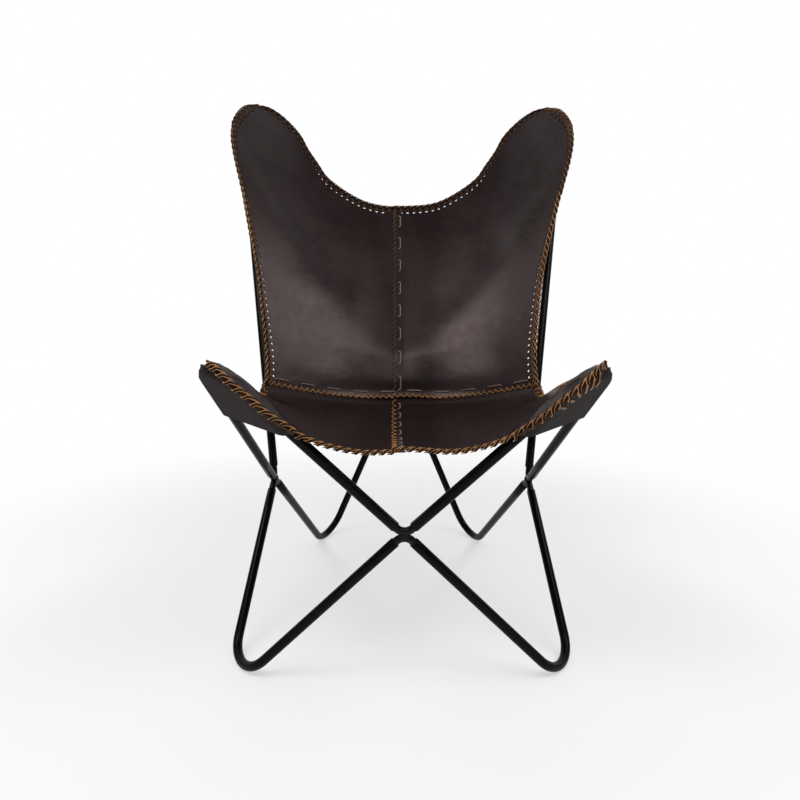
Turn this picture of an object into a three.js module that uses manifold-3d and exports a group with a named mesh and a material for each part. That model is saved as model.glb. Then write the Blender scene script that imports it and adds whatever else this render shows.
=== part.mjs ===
// Butterfly sling chair: a knock-down frame of eight bent tubes on four cross connectors,
// and a leather sling of four lapped panels that hangs by a pocket on each top corner.
// Millimetres, +Z up, the front faces -Y, and +X is the right-hand side as seen from the front.
import * as THREE from 'three';
import { mergeVertices } from 'three/addons/utils/BufferGeometryUtils.js';
import Module from 'manifold-3d';

const wasm = await Module();
wasm.setup();

// Tube stock, plug-in connectors and fits
const TUBE_OD = 14;
const TUBE_WALL = 1.2;
const SLIP_FIT = 0.3;
const TUBE_BEND_RADIUS = 50;
const STUB_LENGTH = 38;
const ROD_BEND_RADIUS = 14;
const WELD_BITE = 0.6;
const FOOT_FLAT_DEPTH = 0.7;
const FRONT_BARE_ROD = 3;
const SIDE_BARE_ROD = 8;
const BACK_BARE_ROD = 4;

// Corner points of the frame, where the straight centre lines of the tubes would meet
const FRONT_FOOT_HALF_SPAN = 255;
const BACK_FOOT_HALF_SPAN = 161;
const FOOT_DEPTH = 546;
const FRONT_CROSS_FORWARD = 54;
const FRONT_CROSS_HEIGHT = 230;
const SIDE_CROSS_HALF_SPAN = 216.5;
const SIDE_CROSS_BACK = 233;
const SIDE_CROSS_HEIGHT = 218;
const BACK_CROSS_BEHIND = 34;
const BACK_CROSS_HEIGHT = 326;
const FRONT_TOP_HALF_SPAN = 263;
const FRONT_TOP_FORWARD = 107;
const FRONT_TOP_HEIGHT = 495;
const BACK_TOP_HALF_SPAN = 343.5;
const BACK_TOP_BEHIND = 99;
const BACK_TOP_HEIGHT = 1010;

// Leather sling
const LEATHER = 2.6;
const LAYER_GAP = 0.3;
const LAP = 15;
const LAP_FADE = 34;
const FRONT_HEM_INSET = 4;
const BACK_HEM_INSET = 9;
const FRONT_HEM_SLACK = 2.5;
const BACK_HEM_SLACK = 11;
const DRAPE_SLACK = 1;
const EDGE_LIFT = 4;
const FRONT_FLANGE = 10;
const BACK_FLANGE = 18;
const FRONT_POCKET_DEPTH = 112;
const BACK_POCKET_DEPTH = 190;
const WING_LIFT = 26;
const TOP_EDGE_LIFT = 60;
const SEAT_FRONT_HEIGHT = 335;
const SEAT_FRONT_SET_BACK = 24;
const SEAT_LOW_HEIGHT = 301;
const CROTCH_HEIGHT = 330;
const CROTCH_AHEAD_OF_BACK_CROSS = 182;
const BACK_EDGE_HEIGHT = 696;
const BACK_EDGE_BEHIND = 54;
const WAIST_RISE = 139;
const WAIST_OUT = 24;
const SEAM_RISE = 20;
const HAMMOCK_POWER = 2.1;
const FRONT_ROW_FADE = 0.16;
const TOP_ROW_FADE = 0.2;

// Braided lacing
const EDGE_LACE = 6;
const SEAM_LACE = 4.4;

// Facet counts
const TUBE_SIDES = 14;
const BEND_STEPS = 9;
const ROD_SIDES = 12;
const LACE_SIDES = 6;
const COLUMNS = 10;
const ROWS = 10;

const tubeRadius = TUBE_OD / 2;
const boreRadius = tubeRadius - TUBE_WALL;
const rodRadius = boreRadius - SLIP_FIT;
const layer = LEATHER + LAYER_GAP;
const drape = tubeRadius + LAYER_GAP + LEATHER / 2;
const backFootY = FOOT_DEPTH;
const backCrossY = backFootY + BACK_CROSS_BEHIND;

const v3 = (x, y, z) => new THREE.Vector3(x, y, z);
const mirrored = (p) => v3(-p.x, p.y, p.z);
const mix = (a, b, t) => a.clone().lerp(b, t);
const ramp = (t) => THREE.MathUtils.smoothstep(t, 0, 1);

// A bent run: straight, one round bend, straight. Steps gather in the bend.
class BentRun extends THREE.Curve {
  constructor(start, corner, end, radius) {
    super();
    const a = start.clone().sub(corner).normalize();
    const b = end.clone().sub(corner).normalize();
    const half = a.angleTo(b) / 2;
    const bisector = a.clone().add(b).normalize();
    this.start = start;
    this.end = end;
    this.a = a;
    this.b = b;
    this.sweep = Math.PI - 2 * half;
    this.radius = radius;
    this.centre = corner.clone().addScaledVector(bisector, radius / Math.sin(half));
    this.from = corner.clone().addScaledVector(a, radius / Math.tan(half));
    this.to = corner.clone().addScaledVector(b, radius / Math.tan(half));
    this.steps = BEND_STEPS + 2;
  }

  turned(angle) {
    const axis = this.from.clone().sub(this.centre).cross(this.to.clone().sub(this.centre)).normalize();
    return { axis, angle };
  }

  getPoint(t, target = new THREE.Vector3()) {
    const k = t * this.steps;
    if (k <= 1) return target.copy(this.start).lerp(this.from, k);
    if (k >= this.steps - 1) return target.copy(this.to).lerp(this.end, k - this.steps + 1);
    const { axis, angle } = this.turned(((k - 1) / BEND_STEPS) * this.sweep);
    return target.copy(this.from).sub(this.centre).applyAxisAngle(axis, angle).add(this.centre);
  }

  getPointAt(u, target) {
    return this.getPoint(u, target);
  }

  getTangentAt(u, target = new THREE.Vector3()) {
    const k = THREE.MathUtils.clamp((u * this.steps - 1) / BEND_STEPS, 0, 1);
    const { axis, angle } = this.turned(k * this.sweep);
    return target.copy(this.a).negate().applyAxisAngle(axis, angle);
  }
}

function ringShape(radius, sides, bore = 0) {
  const circle = (r) => Array.from({ length: sides }, (_, i) => {
    const angle = (i / sides) * Math.PI * 2;
    return new THREE.Vector2(Math.cos(angle) * r, Math.sin(angle) * r);
  });
  const shape = new THREE.Shape(circle(radius));
  if (bore > 0) shape.holes.push(new THREE.Path(circle(bore)));
  return shape;
}

function extrudeAlong(path, shape) {
  return new THREE.ExtrudeGeometry(shape, { extrudePath: path, steps: path.steps, bevelEnabled: false });
}

function toSolid(geometry) {
  const bare = geometry.clone();
  bare.deleteAttribute('normal');
  bare.deleteAttribute('uv');
  const merged = mergeVertices(bare, 1e-4);
  const mesh = new wasm.Mesh({
    numProp: 3,
    vertProperties: new Float32Array(merged.attributes.position.array),
    triVerts: new Uint32Array(merged.index.array),
  });
  return new wasm.Manifold(mesh);
}

function toGeometry(solid) {
  const mesh = solid.getMesh();
  const geometry = new THREE.BufferGeometry();
  geometry.setAttribute('position', new THREE.BufferAttribute(new Float32Array(mesh.vertProperties), 3));
  geometry.setIndex(new THREE.BufferAttribute(new Uint32Array(mesh.triVerts), 1));
  geometry.computeVertexNormals();
  return geometry;
}

// Frame corners. The feet are dropped so that every bend touches the floor.
const sideCross = v3(SIDE_CROSS_HALF_SPAN, SIDE_CROSS_BACK, SIDE_CROSS_HEIGHT);
const frontCross = v3(0, -FRONT_CROSS_FORWARD, FRONT_CROSS_HEIGHT);
const backCross = v3(0, backCrossY, BACK_CROSS_HEIGHT);
const frontTop = v3(FRONT_TOP_HALF_SPAN, -FRONT_TOP_FORWARD, FRONT_TOP_HEIGHT);
const backTop = v3(BACK_TOP_HALF_SPAN, backFootY + BACK_TOP_BEHIND, BACK_TOP_HEIGHT);

const frontFoot = v3(FRONT_FOOT_HALF_SPAN, 0, 0);
const backFoot = v3(BACK_FOOT_HALF_SPAN, backFootY, 0);

function settle(foot, makeRun) {
  for (let pass = 0; pass < 6; pass += 1) {
    const tube = extrudeAlong(makeRun(), ringShape(tubeRadius, TUBE_SIDES));
    tube.computeBoundingBox();
    foot.z -= tube.boundingBox.min.z + FOOT_FLAT_DEPTH;
  }
}

settle(frontFoot, () => new BentRun(frontCross, frontFoot, sideCross, TUBE_BEND_RADIUS));
settle(backFoot, () => new BentRun(backCross, backFoot, sideCross, TUBE_BEND_RADIUS));

// One connector is two bent rods, welded back to back. Each rod's arms aim at two frame corners.
// The tubes start where the bend has ended and a short length of bare rod has shown.
function bentRod(cross, a, b, bare) {
  const knee = cross.clone();
  let shoulder = 0;
  for (let pass = 0; pass < 6; pass += 1) {
    const toA = a.clone().sub(knee).normalize();
    const toB = b.clone().sub(knee).normalize();
    const half = toA.angleTo(toB) / 2;
    const bisector = toA.add(toB).normalize();
    const sagitta = ROD_BEND_RADIUS * (1 / Math.sin(half) - 1);
    knee.copy(cross).addScaledVector(bisector, rodRadius - WELD_BITE - sagitta);
    shoulder = ROD_BEND_RADIUS / Math.tan(half) + bare;
  }
  return { knee, a, b, shoulder };
}

function crossing(cross, upA, upB, downA, downB, bare) {
  return { cross, upper: bentRod(cross, upA, upB, bare), lower: bentRod(cross, downA, downB, bare) };
}

const crossings = {
  front: crossing(frontCross, mirrored(frontTop), frontTop, mirrored(frontFoot), frontFoot, FRONT_BARE_ROD),
  right: crossing(sideCross, frontTop, backTop, frontFoot, backFoot, SIDE_BARE_ROD),
  back: crossing(backCross, mirrored(backTop), backTop, mirrored(backFoot), backFoot, BACK_BARE_ROD),
};

function along(from, towards, distance) {
  return from.clone().addScaledVector(towards.clone().sub(from).normalize(), distance);
}

function connectorGeometry({ cross, upper, lower }) {
  const bent = [upper, lower].map((rod) => {
    const start = along(rod.knee, rod.a, rod.shoulder + STUB_LENGTH);
    const end = along(rod.knee, rod.b, rod.shoulder + STUB_LENGTH);
    const run = new BentRun(start, rod.knee, end, ROD_BEND_RADIUS);
    return toSolid(extrudeAlong(run, ringShape(rodRadius, ROD_SIDES)));
  });
  const weld = new THREE.SphereGeometry(rodRadius * 0.9, 12, 8);
  weld.translate(cross.x, cross.y, cross.z);
  return toGeometry(bent[0].add(bent[1]).add(toSolid(weld)));
}

// A frame tube runs from the shoulder of one connector, round its corner, to the next connector
function tubeRun(rodA, corner, rodB) {
  const start = along(rodA.knee, corner, rodA.shoulder);
  const end = along(rodB.knee, corner, rodB.shoulder);
  return new BentRun(start, corner, end, TUBE_BEND_RADIUS);
}

const { front, right, back } = crossings;
settle(frontFoot, () => tubeRun(front.lower, frontFoot, right.lower));
settle(backFoot, () => tubeRun(back.lower, backFoot, right.lower));
const runs = {
  frontFoot: tubeRun(front.lower, frontFoot, right.lower),
  backFoot: tubeRun(back.lower, backFoot, right.lower),
  frontTop: tubeRun(front.upper, frontTop, right.upper),
  backTop: tubeRun(back.upper, backTop, right.upper),
};

function tubeGeometry(run, flattened) {
  const tube = extrudeAlong(run, ringShape(tubeRadius, TUBE_SIDES, boreRadius));
  if (!flattened) return tube;
  const reach = run.start.distanceTo(run.end) + run.radius * 2;
  const floor = new THREE.BoxGeometry(reach * 2, reach * 2, TUBE_OD);
  floor.translate(run.centre.x, run.centre.y, -TUBE_OD / 2);
  return toGeometry(toSolid(tube).subtract(toSolid(floor)));
}

// The plane of a top corner's bend, with p from the corner point inwards along the bisector,
// q across towards the arm of the front or back crossing, and n towards the sitter.
class TopCorner {
  constructor(corner, middleKnee, sideKnee, flange, hemInset, hemSlack) {
    const a = middleKnee.clone().sub(corner).normalize();
    const b = sideKnee.clone().sub(corner).normalize();
    this.corner = corner;
    this.half = a.angleTo(b) / 2;
    this.bis = a.clone().add(b).normalize();
    this.across = a.clone().sub(b).normalize();
    this.normal = this.bis.clone().cross(this.across).normalize();
    if (this.normal.z < 0) this.normal.negate();
    this.hemInset = hemInset;
    this.hemSlack = hemSlack;
    this.reach = tubeRadius + flange;
    this.edgeRadius = TUBE_BEND_RADIUS + this.reach;
    this.bendP = TUBE_BEND_RADIUS / Math.sin(this.half);
    this.tipP = this.bendP - this.edgeRadius;
    this.arc = this.edgeRadius * (Math.PI / 2 - this.half);
  }

  place(p, q, n) {
    const point = this.corner.clone().addScaledVector(this.bis, p);
    return point.addScaledVector(this.across, q).addScaledVector(this.normal, n);
  }

  // The pocket's outline, by distance from its tip: positive to the middle arm, negative to the side arm
  outline(s) {
    const turn = Math.min(Math.abs(s), this.arc) / this.edgeRadius;
    const rest = Math.max(0, Math.abs(s) - this.arc);
    const p = this.bendP - this.edgeRadius * Math.cos(turn) + rest * Math.cos(this.half);
    const q = this.edgeRadius * Math.sin(turn) + rest * Math.sin(this.half);
    return { p, q: Math.sign(s) * q };
  }

  edge(s, lift) {
    const { p, q } = this.outline(s);
    return this.place(p, q, drape + lift);
  }

  // Distance inwards from the outline to a point of the plane
  inset(p, q) {
    const arm = p * Math.sin(this.half) - Math.abs(q) * Math.cos(this.half) + this.reach;
    const fromBend = Math.hypot(p - this.bendP, q);
    const inBend = this.bendP - p > Math.abs(q) * Math.tan(this.half);
    return inBend ? this.edgeRadius - fromBend : arm;
  }

  // Half the pocket's width at p, measured to a line that lies an inset inside its outline
  halfWidth(p, inset) {
    const radius = this.edgeRadius - inset;
    const tangentP = this.bendP - radius * Math.sin(this.half);
    if (p >= tangentP) return p * Math.tan(this.half) + (this.reach - inset) / Math.cos(this.half);
    return Math.sqrt(Math.max(0, radius ** 2 - (p - this.bendP) ** 2));
  }
}

const frontHem = [FRONT_FLANGE, FRONT_HEM_INSET, FRONT_HEM_SLACK];
const backHem = [BACK_FLANGE, BACK_HEM_INSET, BACK_HEM_SLACK];
const frontCorner = new TopCorner(frontTop, front.upper.knee, right.upper.knee, ...frontHem);
const backCorner = new TopCorner(backTop, back.upper.knee, right.upper.knee, ...backHem);
const lifts = {
  front: { middle: () => 0, side: (s) => WING_LIFT * ramp(s / FRONT_POCKET_DEPTH) },
  back: { middle: (s) => TOP_EDGE_LIFT * ramp(s / BACK_POCKET_DEPTH), side: () => 0 },
};

// Sling surface: u from the centre line to the side edge, v from the front edge to the top edge
const SEAM_V = 4 / 9;
const waist = sideCross.clone().add(v3(WAIST_OUT, WAIST_OUT * 1.5, WAIST_RISE));
const seamEnd = waist.clone().add(v3(0, SEAM_RISE, SEAM_RISE));
const wingEnd = frontCorner.edge(-FRONT_POCKET_DEPTH, WING_LIFT);

// The side edge of the back lies a little inside the tube that it follows
function sideArm(s, share) {
  return backCorner.edge(-s, EDGE_LIFT).addScaledVector(backCorner.across, BACK_FLANGE * share);
}

const sideEdge = new THREE.CatmullRomCurve3([
  frontCorner.edge(0, 0),
  wingEnd,
  mix(wingEnd, waist, 0.5),
  mix(wingEnd, waist, 0.94),
  seamEnd,
  sideArm(BACK_POCKET_DEPTH * 2.35, 0.8),
  sideArm(BACK_POCKET_DEPTH * 1.45, 0.3),
  backCorner.edge(-BACK_POCKET_DEPTH * 0.75, 0),
  backCorner.edge(-BACK_POCKET_DEPTH * 0.32, 0),
  backCorner.edge(0, 0),
], false, 'centripetal');

const seatFront = v3(0, -FRONT_CROSS_FORWARD + SEAT_FRONT_SET_BACK, SEAT_FRONT_HEIGHT);
const crotch = v3(0, backCrossY - CROTCH_AHEAD_OF_BACK_CROSS, CROTCH_HEIGHT);
const backEdge = v3(0, backFootY + BACK_EDGE_BEHIND, BACK_EDGE_HEIGHT);
const seatLow = mix(seatFront, crotch, 0.5).setZ(SEAT_LOW_HEIGHT);
const centreLine = new THREE.CatmullRomCurve3([
  seatFront,
  mix(seatFront, seatLow, 0.5).setZ((SEAT_FRONT_HEIGHT + SEAT_LOW_HEIGHT * 2) / 3),
  seatLow,
  mix(seatLow, crotch, 0.55).setZ((CROTCH_HEIGHT + SEAT_LOW_HEIGHT * 3) / 4),
  crotch,
  mix(crotch, backEdge, 0.2),
  mix(crotch, backEdge, 0.41),
  mix(crotch, backEdge, 0.62),
  mix(crotch, backEdge, 0.82),
  backEdge,
], false, 'centripetal');

// An edge row is drawn whole, with its mirror image, so that it runs smoothly through the centre
function edgeRow(points) {
  const far = points.slice(1).reverse().map(mirrored);
  const whole = new THREE.CatmullRomCurve3([...far, ...points], false, 'centripetal');
  return { getPoint: (u) => whole.getPoint(0.5 + u / 2) };
}

const frontHang = frontCorner.edge(FRONT_POCKET_DEPTH * 1.45, 0);
const frontEdge = edgeRow([
  seatFront,
  mix(seatFront, frontHang, 0.5).setZ(SEAT_FRONT_HEIGHT + LAP / 2),
  frontHang,
  frontCorner.edge(FRONT_POCKET_DEPTH * 0.95, 0),
  frontCorner.edge(FRONT_POCKET_DEPTH * 0.45, 0),
  frontCorner.edge(0, 0),
]);

const topHang = backCorner.edge(BACK_POCKET_DEPTH, TOP_EDGE_LIFT);
const topEdge = edgeRow([
  backEdge,
  mix(backEdge, topHang, 0.5).setZ(BACK_EDGE_HEIGHT + LAP),
  topHang,
  backCorner.edge(BACK_POCKET_DEPTH * 0.5, lifts.back.middle(BACK_POCKET_DEPTH * 0.5)),
  backCorner.edge(0, 0),
]);

const tubeSamples = [['frontTop', frontCorner], ['backTop', backCorner]].map(([name, corner]) => ({
  corner,
  points: Array.from({ length: 221 }, (_, i) => {
    const k = i / 220;
    const run = runs[name];
    const share = k < 0.4 ? (k / 0.4) * (1 / run.steps)
      : k > 0.6 ? 1 - ((1 - k) / 0.4) * (1 / run.steps)
        : (1 + ((k - 0.4) / 0.2) * BEND_STEPS) / run.steps;
    return run.getPoint(share);
  }),
}));

// Lifts a point of the sling off the tubes that it drapes over
function drapeOver(point) {
  for (const { corner, points } of tubeSamples) {
    let push = 0;
    for (const centre of points) {
      const d = point.clone().sub(centre);
      const n = d.dot(corner.normal);
      const flat = Math.sqrt(Math.max(0, d.lengthSq() - n * n));
      const need = drape + DRAPE_SLACK;
      if (flat < need && n < need) {
        push = Math.max(push, Math.sqrt(need * need - flat * flat) - n);
      }
    }
    if (push > 0 && push < TUBE_OD * 2) point.addScaledVector(corner.normal, push);
  }
  return point;
}

function slingHalf(u, v) {
  const edge = sideEdge.getPoint(v);
  const centre = centreLine.getPoint(v);
  const point = v3(edge.x * u, 0, 0);
  const rise = u ** HAMMOCK_POWER;
  point.y = THREE.MathUtils.lerp(centre.y, edge.y, rise);
  point.z = THREE.MathUtils.lerp(centre.z, edge.z, rise);
  const rows = [
    [frontEdge, 0, 1 - v / FRONT_ROW_FADE],
    [topEdge, 1, 1 - (1 - v) / TOP_ROW_FADE],
  ];
  for (const [row, end, share] of rows) {
    if (share <= 0) continue;
    const rowEdge = sideEdge.getPoint(end);
    const rowCentre = centreLine.getPoint(end);
    const plain = v3(rowEdge.x * u, 0, 0);
    plain.y = THREE.MathUtils.lerp(rowCentre.y, rowEdge.y, rise);
    plain.z = THREE.MathUtils.lerp(rowCentre.z, rowEdge.z, rise);
    point.addScaledVector(row.getPoint(u).sub(plain), ramp(share));
  }
  return point;
}

function freePoint(u, v) {
  const point = slingHalf(Math.abs(u), v);
  return u < 0 ? mirrored(point) : point;
}

function slingPoint(u, v) {
  const point = drapeOver(slingHalf(Math.abs(u), v));
  return u < 0 ? mirrored(point) : point;
}

function slingNormal(u, v) {
  const e = 0.004;
  const u0 = Math.max(-1, u - e);
  const u1 = Math.min(1, u + e);
  const w0 = Math.max(0, v - e);
  const w1 = Math.min(1, v + e);
  const du = freePoint(u1, v).sub(freePoint(u0, v));
  const dv = freePoint(u, w1).sub(freePoint(u, w0));
  return du.cross(dv).normalize();
}

// Layers at the laps: right over left at the centre, back over seat at the cross seam
const rowWidth = (v) => sideEdge.getPoint(v).x;
const rowLength = centreLine.getLength();
const lapU = (v) => LAP / rowWidth(v);
const lapV = LAP / rowLength;
const nearCentre = (u, v) => 1 - ramp((Math.abs(u) * rowWidth(v) - LAP * 1.4) / LAP_FADE);
const nearSeam = (v) => 1 - ramp((Math.abs(v - SEAM_V) * rowLength - LAP * 1.4) / LAP_FADE);
const besideU = (v) => -lapU(v) - (SEAM_LACE / 2 + LAYER_GAP) / rowWidth(v);
const besideV = SEAM_V - lapV - (SEAM_LACE / 2 + LAYER_GAP) / rowLength;
const spread = Array.from({ length: COLUMNS }, (_, i) => 1 - (1 - (i + 1) / COLUMNS) ** 1.35);
const leftColumns = (v) => [...spread.slice().reverse().map((u) => -u), besideU(v), -lapU(v), 0];
const rightColumns = (v) => [-lapU(v), 0, ...spread];
const seatRows = [
  ...Array.from({ length: ROWS }, (_, j) => besideV * (j / ROWS) ** 1.15),
  besideV,
  SEAM_V - lapV,
  SEAM_V,
];
const fadeRows = [0, 0.5, 1].map((t) => SEAM_V + (LAP * 1.4 + LAP_FADE * t) / rowLength);
const backRows = [
  SEAM_V - lapV,
  SEAM_V,
  ...fadeRows,
  ...Array.from({ length: ROWS }, (_, j) => THREE.MathUtils.lerp(fadeRows[2], 1, ((j + 1) / ROWS) ** 0.9)),
];
const panels = {
  seat_panel_left: { columns: leftColumns, rows: seatRows, height: () => 0 },
  seat_panel_right: { columns: rightColumns, rows: seatRows, height: (u, v) => nearCentre(u, v) },
  back_panel_left: {
    columns: leftColumns,
    rows: backRows,
    height: (u, v) => nearSeam(v) * (1 + nearCentre(u, v)),
  },
  back_panel_right: {
    columns: rightColumns,
    rows: backRows,
    height: (u, v) => nearSeam(v) * (1 + nearCentre(u, v)) + nearCentre(u, v),
  },
};

function onPanel(panel, u, v, above = 0) {
  const offset = panels[panel].height(u, v) * layer + above;
  return slingPoint(u, v).addScaledVector(slingNormal(u, v), offset);
}

// A closed sheet of one thickness about a grid of middle points
function sheetFromGrid(grid, thickness) {
  const rows = grid.length;
  const width = grid[0].length;
  const clampRow = (j) => grid[Math.min(rows - 1, Math.max(0, j))];
  const clampAt = (row, i) => row[Math.min(width - 1, Math.max(0, i))];
  const normals = grid.map((row, j) => row.map((_, i) => {
    const du = clampAt(row, i + 1).clone().sub(clampAt(row, i - 1));
    const dv = clampAt(clampRow(j + 1), i).clone().sub(clampAt(clampRow(j - 1), i));
    return du.cross(dv).normalize();
  }));
  return sheetBetween(grid, normals, thickness);
}

function sheetBetween(grid, normals, thickness) {
  const rows = grid.length;
  const width = grid[0].length;
  const count = rows * width;
  const positions = [];
  for (const side of [0.5, -0.5]) {
    grid.forEach((row, j) => row.forEach((point, i) => {
      positions.push(...point.clone().addScaledVector(normals[j][i], thickness * side).toArray());
    }));
  }
  const index = [];
  const quad = (a, b, c, d) => index.push(a, b, c, a, c, d);
  for (let j = 0; j < rows - 1; j += 1) {
    for (let i = 0; i < width - 1; i += 1) {
      const k = j * width + i;
      quad(k, k + 1, k + 1 + width, k + width);
      quad(count + k, count + k + width, count + k + 1 + width, count + k + 1);
    }
  }
  const rim = [];
  for (let i = 0; i < width - 1; i += 1) rim.push(i);
  for (let j = 0; j < rows - 1; j += 1) rim.push(j * width + width - 1);
  for (let i = width - 1; i > 0; i -= 1) rim.push((rows - 1) * width + i);
  for (let j = rows - 1; j > 0; j -= 1) rim.push(j * width);
  rim.forEach((a, i) => {
    const b = rim[(i + 1) % rim.length];
    quad(a, a + count, b + count, b);
  });
  const geometry = new THREE.BufferGeometry();
  geometry.setAttribute('position', new THREE.Float32BufferAttribute(positions, 3));
  geometry.setIndex(index);
  geometry.computeVertexNormals();
  return geometry;
}

function panelGeometry(name) {
  const { columns, rows } = panels[name];
  const at = (make) => rows.map((v) => columns(v).map((u) => make(u, v)));
  const grid = at((u, v) => onPanel(name, u, v));
  const normals = at((u, v) => slingNormal(u, v));
  return sheetBetween(grid, normals, LEATHER);
}

// The pocket's outer sheet starts under the panel's edge, goes round the tube and across the corner
const wrapRadius = tubeRadius + LAYER_GAP * 4 + LEATHER / 2;

function pocketLevel(corner, lift, depth, p, q) {
  const inset = corner.inset(p, q);
  const s = Math.hypot(p - corner.tipP, q);
  const side = q > 0 ? lift.middle : lift.side;
  const hem = drape + side(s) - layer - LAYER_GAP - corner.hemSlack * ramp(s / depth);
  const outside = corner.reach - inset;
  const round = outside > 0 ? -Math.sqrt(Math.max(0, wrapRadius ** 2 - outside ** 2)) : -wrapRadius;
  const fall = ramp((inset - corner.hemInset) / (corner.reach - wrapRadius - corner.hemInset));
  return THREE.MathUtils.lerp(hem, round, fall);
}

function pocketGeometry(corner, lift, depth) {
  const { reach, hemInset } = corner;
  const gutter = [0, 0.3, 0.55, 0.8, 1].map((t) => reach - wrapRadius * Math.cos((t * Math.PI) / 2));
  const insets = [hemInset, ...gutter, reach + TUBE_OD];
  const rows = [hemInset + 1, ...gutter, reach + TUBE_OD];
  const bendEnd = Math.PI / 2 - corner.half;
  const runIn = Math.acos(1 - (rows[rows.length - 1] - reach) / TUBE_BEND_RADIUS);
  for (const t of [0.3, 0.6, 1]) {
    const turn = THREE.MathUtils.lerp(runIn, bendEnd, t);
    rows.push(corner.bendP - corner.tipP - TUBE_BEND_RADIUS * Math.cos(turn));
  }
  const straight = rows[rows.length - 1];
  for (const t of [0.5, 1]) rows.push(THREE.MathUtils.lerp(straight, depth, t));
  const half = (p) => {
    const columns = [];
    for (const inset of insets) {
      const least = columns.length > 0 ? columns[columns.length - 1] * 0.6 : 0;
      columns.push(Math.max(least, corner.halfWidth(p, inset)));
    }
    columns.push(columns[columns.length - 1] * 0.45);
    return columns;
  };
  const grid = rows.map((row) => {
    const p = corner.tipP + row;
    const columns = half(p);
    const qs = [...columns.map((q) => -q), 0, ...columns.slice().reverse()];
    return qs.map((q) => corner.place(p, q, pocketLevel(corner, lift, depth, p, q)));
  });
  return sheetFromGrid(grid, LEATHER);
}

// A lace is a round cord along a run of points
class PointRun extends THREE.Curve {
  constructor(points) {
    super();
    this.spline = new THREE.CatmullRomCurve3(points, false, 'centripetal');
    this.steps = points.length - 1;
  }

  getPoint(t, target) {
    return this.spline.getPoint(t, target);
  }

  getPointAt(u, target) {
    return this.getPoint(u, target);
  }

  getTangentAt(u, target) {
    return this.spline.getTangent(u, target);
  }
}

function laceGeometry(points, diameter) {
  return extrudeAlong(new PointRun(points), ringShape(diameter / 2, LACE_SIDES));
}

// A lace lies just outside an edge of its panel, and stops short of the corners
function outsideEdge(panel, u, v, inU, inV, lace = EDGE_LACE, above = 0) {
  const step = 0.004;
  const alongU = inU === u ? step : 0;
  const alongV = inU === u ? 0 : step;
  const here = (k) => {
    const nearU = THREE.MathUtils.clamp(u + alongU * k, -1, 1);
    const nearV = THREE.MathUtils.clamp(v + alongV * k, 0, 1);
    return freePoint(nearU, nearV);
  };
  const edge = here(1).sub(here(-1)).normalize();
  const inwards = freePoint(inU, inV).sub(freePoint(u, v));
  const out = edge.cross(slingNormal(u, v)).normalize();
  if (out.dot(inwards) > 0) out.negate();
  return onPanel(panel, u, v, above).addScaledVector(out, lace / 2 + LAYER_GAP);
}

function trimmed(points) {
  const last = points.length - 1;
  points[0] = mix(points[0], points[1], 0.5);
  points[last] = mix(points[last], points[last - 1], 0.5);
  return points;
}

const STEP_IN = 0.02;
const acrossEdge = (kind, v, inV) => trimmed([
  ...leftColumns(v).slice(0, -2).map((u) => outsideEdge(`${kind}_left`, u, v, u, inV)),
  ...rightColumns(v).map((u) => outsideEdge(`${kind}_right`, u, v, u, inV)),
]);
function upSide(name, side) {
  const inU = side * (1 - STEP_IN);
  return [
    ...seatRows.slice(0, -2).map((v) => outsideEdge(`seat_panel_${name}`, side, v, inU, v)),
    ...backRows.map((v) => outsideEdge(`back_panel_${name}`, side, v, inU, v)),
  ];
}
const besideLap = LEATHER / 2 + LAYER_GAP + SEAM_LACE / 2 - layer;
const lapEdge = SEAM_V - lapV;
const upCentre = (panel, rows) => trimmed(rows.map((v) => {
  return outsideEdge(panel, -lapU(v), v, -lapU(v) + STEP_IN, v, SEAM_LACE, besideLap);
}));
const acrossLap = (panel, columns) => columns.map((u) => {
  return outsideEdge(panel, u, lapEdge, u, lapEdge + STEP_IN, SEAM_LACE, besideLap);
});
const laces = {
  lace_front_edge: acrossEdge('seat_panel', 0, STEP_IN),
  lace_top_edge: acrossEdge('back_panel', 1, 1 - STEP_IN),
  lace_left_edge: upSide('left', -1),
  lace_right_edge: upSide('right', 1),
  lace_centre_back: upCentre('back_panel_right', backRows),
  lace_centre_seat: upCentre('seat_panel_right', seatRows.slice(0, -3)),
  lace_cross_seam: trimmed([
    ...acrossLap('back_panel_left', leftColumns(lapEdge).slice(0, -2)),
    ...acrossLap('back_panel_right', rightColumns(lapEdge)),
  ]),
};

// Materials
const finishes = {
  tube: { color: 0x121214, roughness: 0.32, metalness: 0.6 },
  connector: { color: 0x17171a, roughness: 0.38, metalness: 0.6 },
  leather: { color: 0x261e1e, roughness: 0.45, metalness: 0 },
  pocket: { color: 0x2c2524, roughness: 0.55, metalness: 0 },
  lace: { color: 0x7a4c2c, roughness: 0.6, metalness: 0 },
};

function piece(name, geometry, finish) {
  const mesh = new THREE.Mesh(geometry, new THREE.MeshStandardMaterial(finishes[finish]));
  mesh.name = name;
  return mesh;
}

// The left-hand copy of a piece is its mirror image
function mirror(name, geometry, finish) {
  const mesh = piece(name, geometry, finish);
  mesh.scale.x = -1;
  return mesh;
}

const frame = new THREE.Group();
const tubes = [
  ['foot_tube_front', runs.frontFoot, true],
  ['foot_tube_back', runs.backFoot, true],
  ['top_tube_front', runs.frontTop, false],
  ['top_tube_back', runs.backTop, false],
];
for (const [name, run, flattened] of tubes) {
  const geometry = tubeGeometry(run, flattened);
  frame.add(piece(`${name}_right`, geometry, 'tube'));
  frame.add(mirror(`${name}_left`, geometry, 'tube'));
}
const sideConnector = connectorGeometry(right);
frame.add(piece('cross_connector_front', connectorGeometry(front), 'connector'));
frame.add(piece('cross_connector_back', connectorGeometry(back), 'connector'));
frame.add(piece('cross_connector_right', sideConnector, 'connector'));
frame.add(mirror('cross_connector_left', sideConnector, 'connector'));

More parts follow.
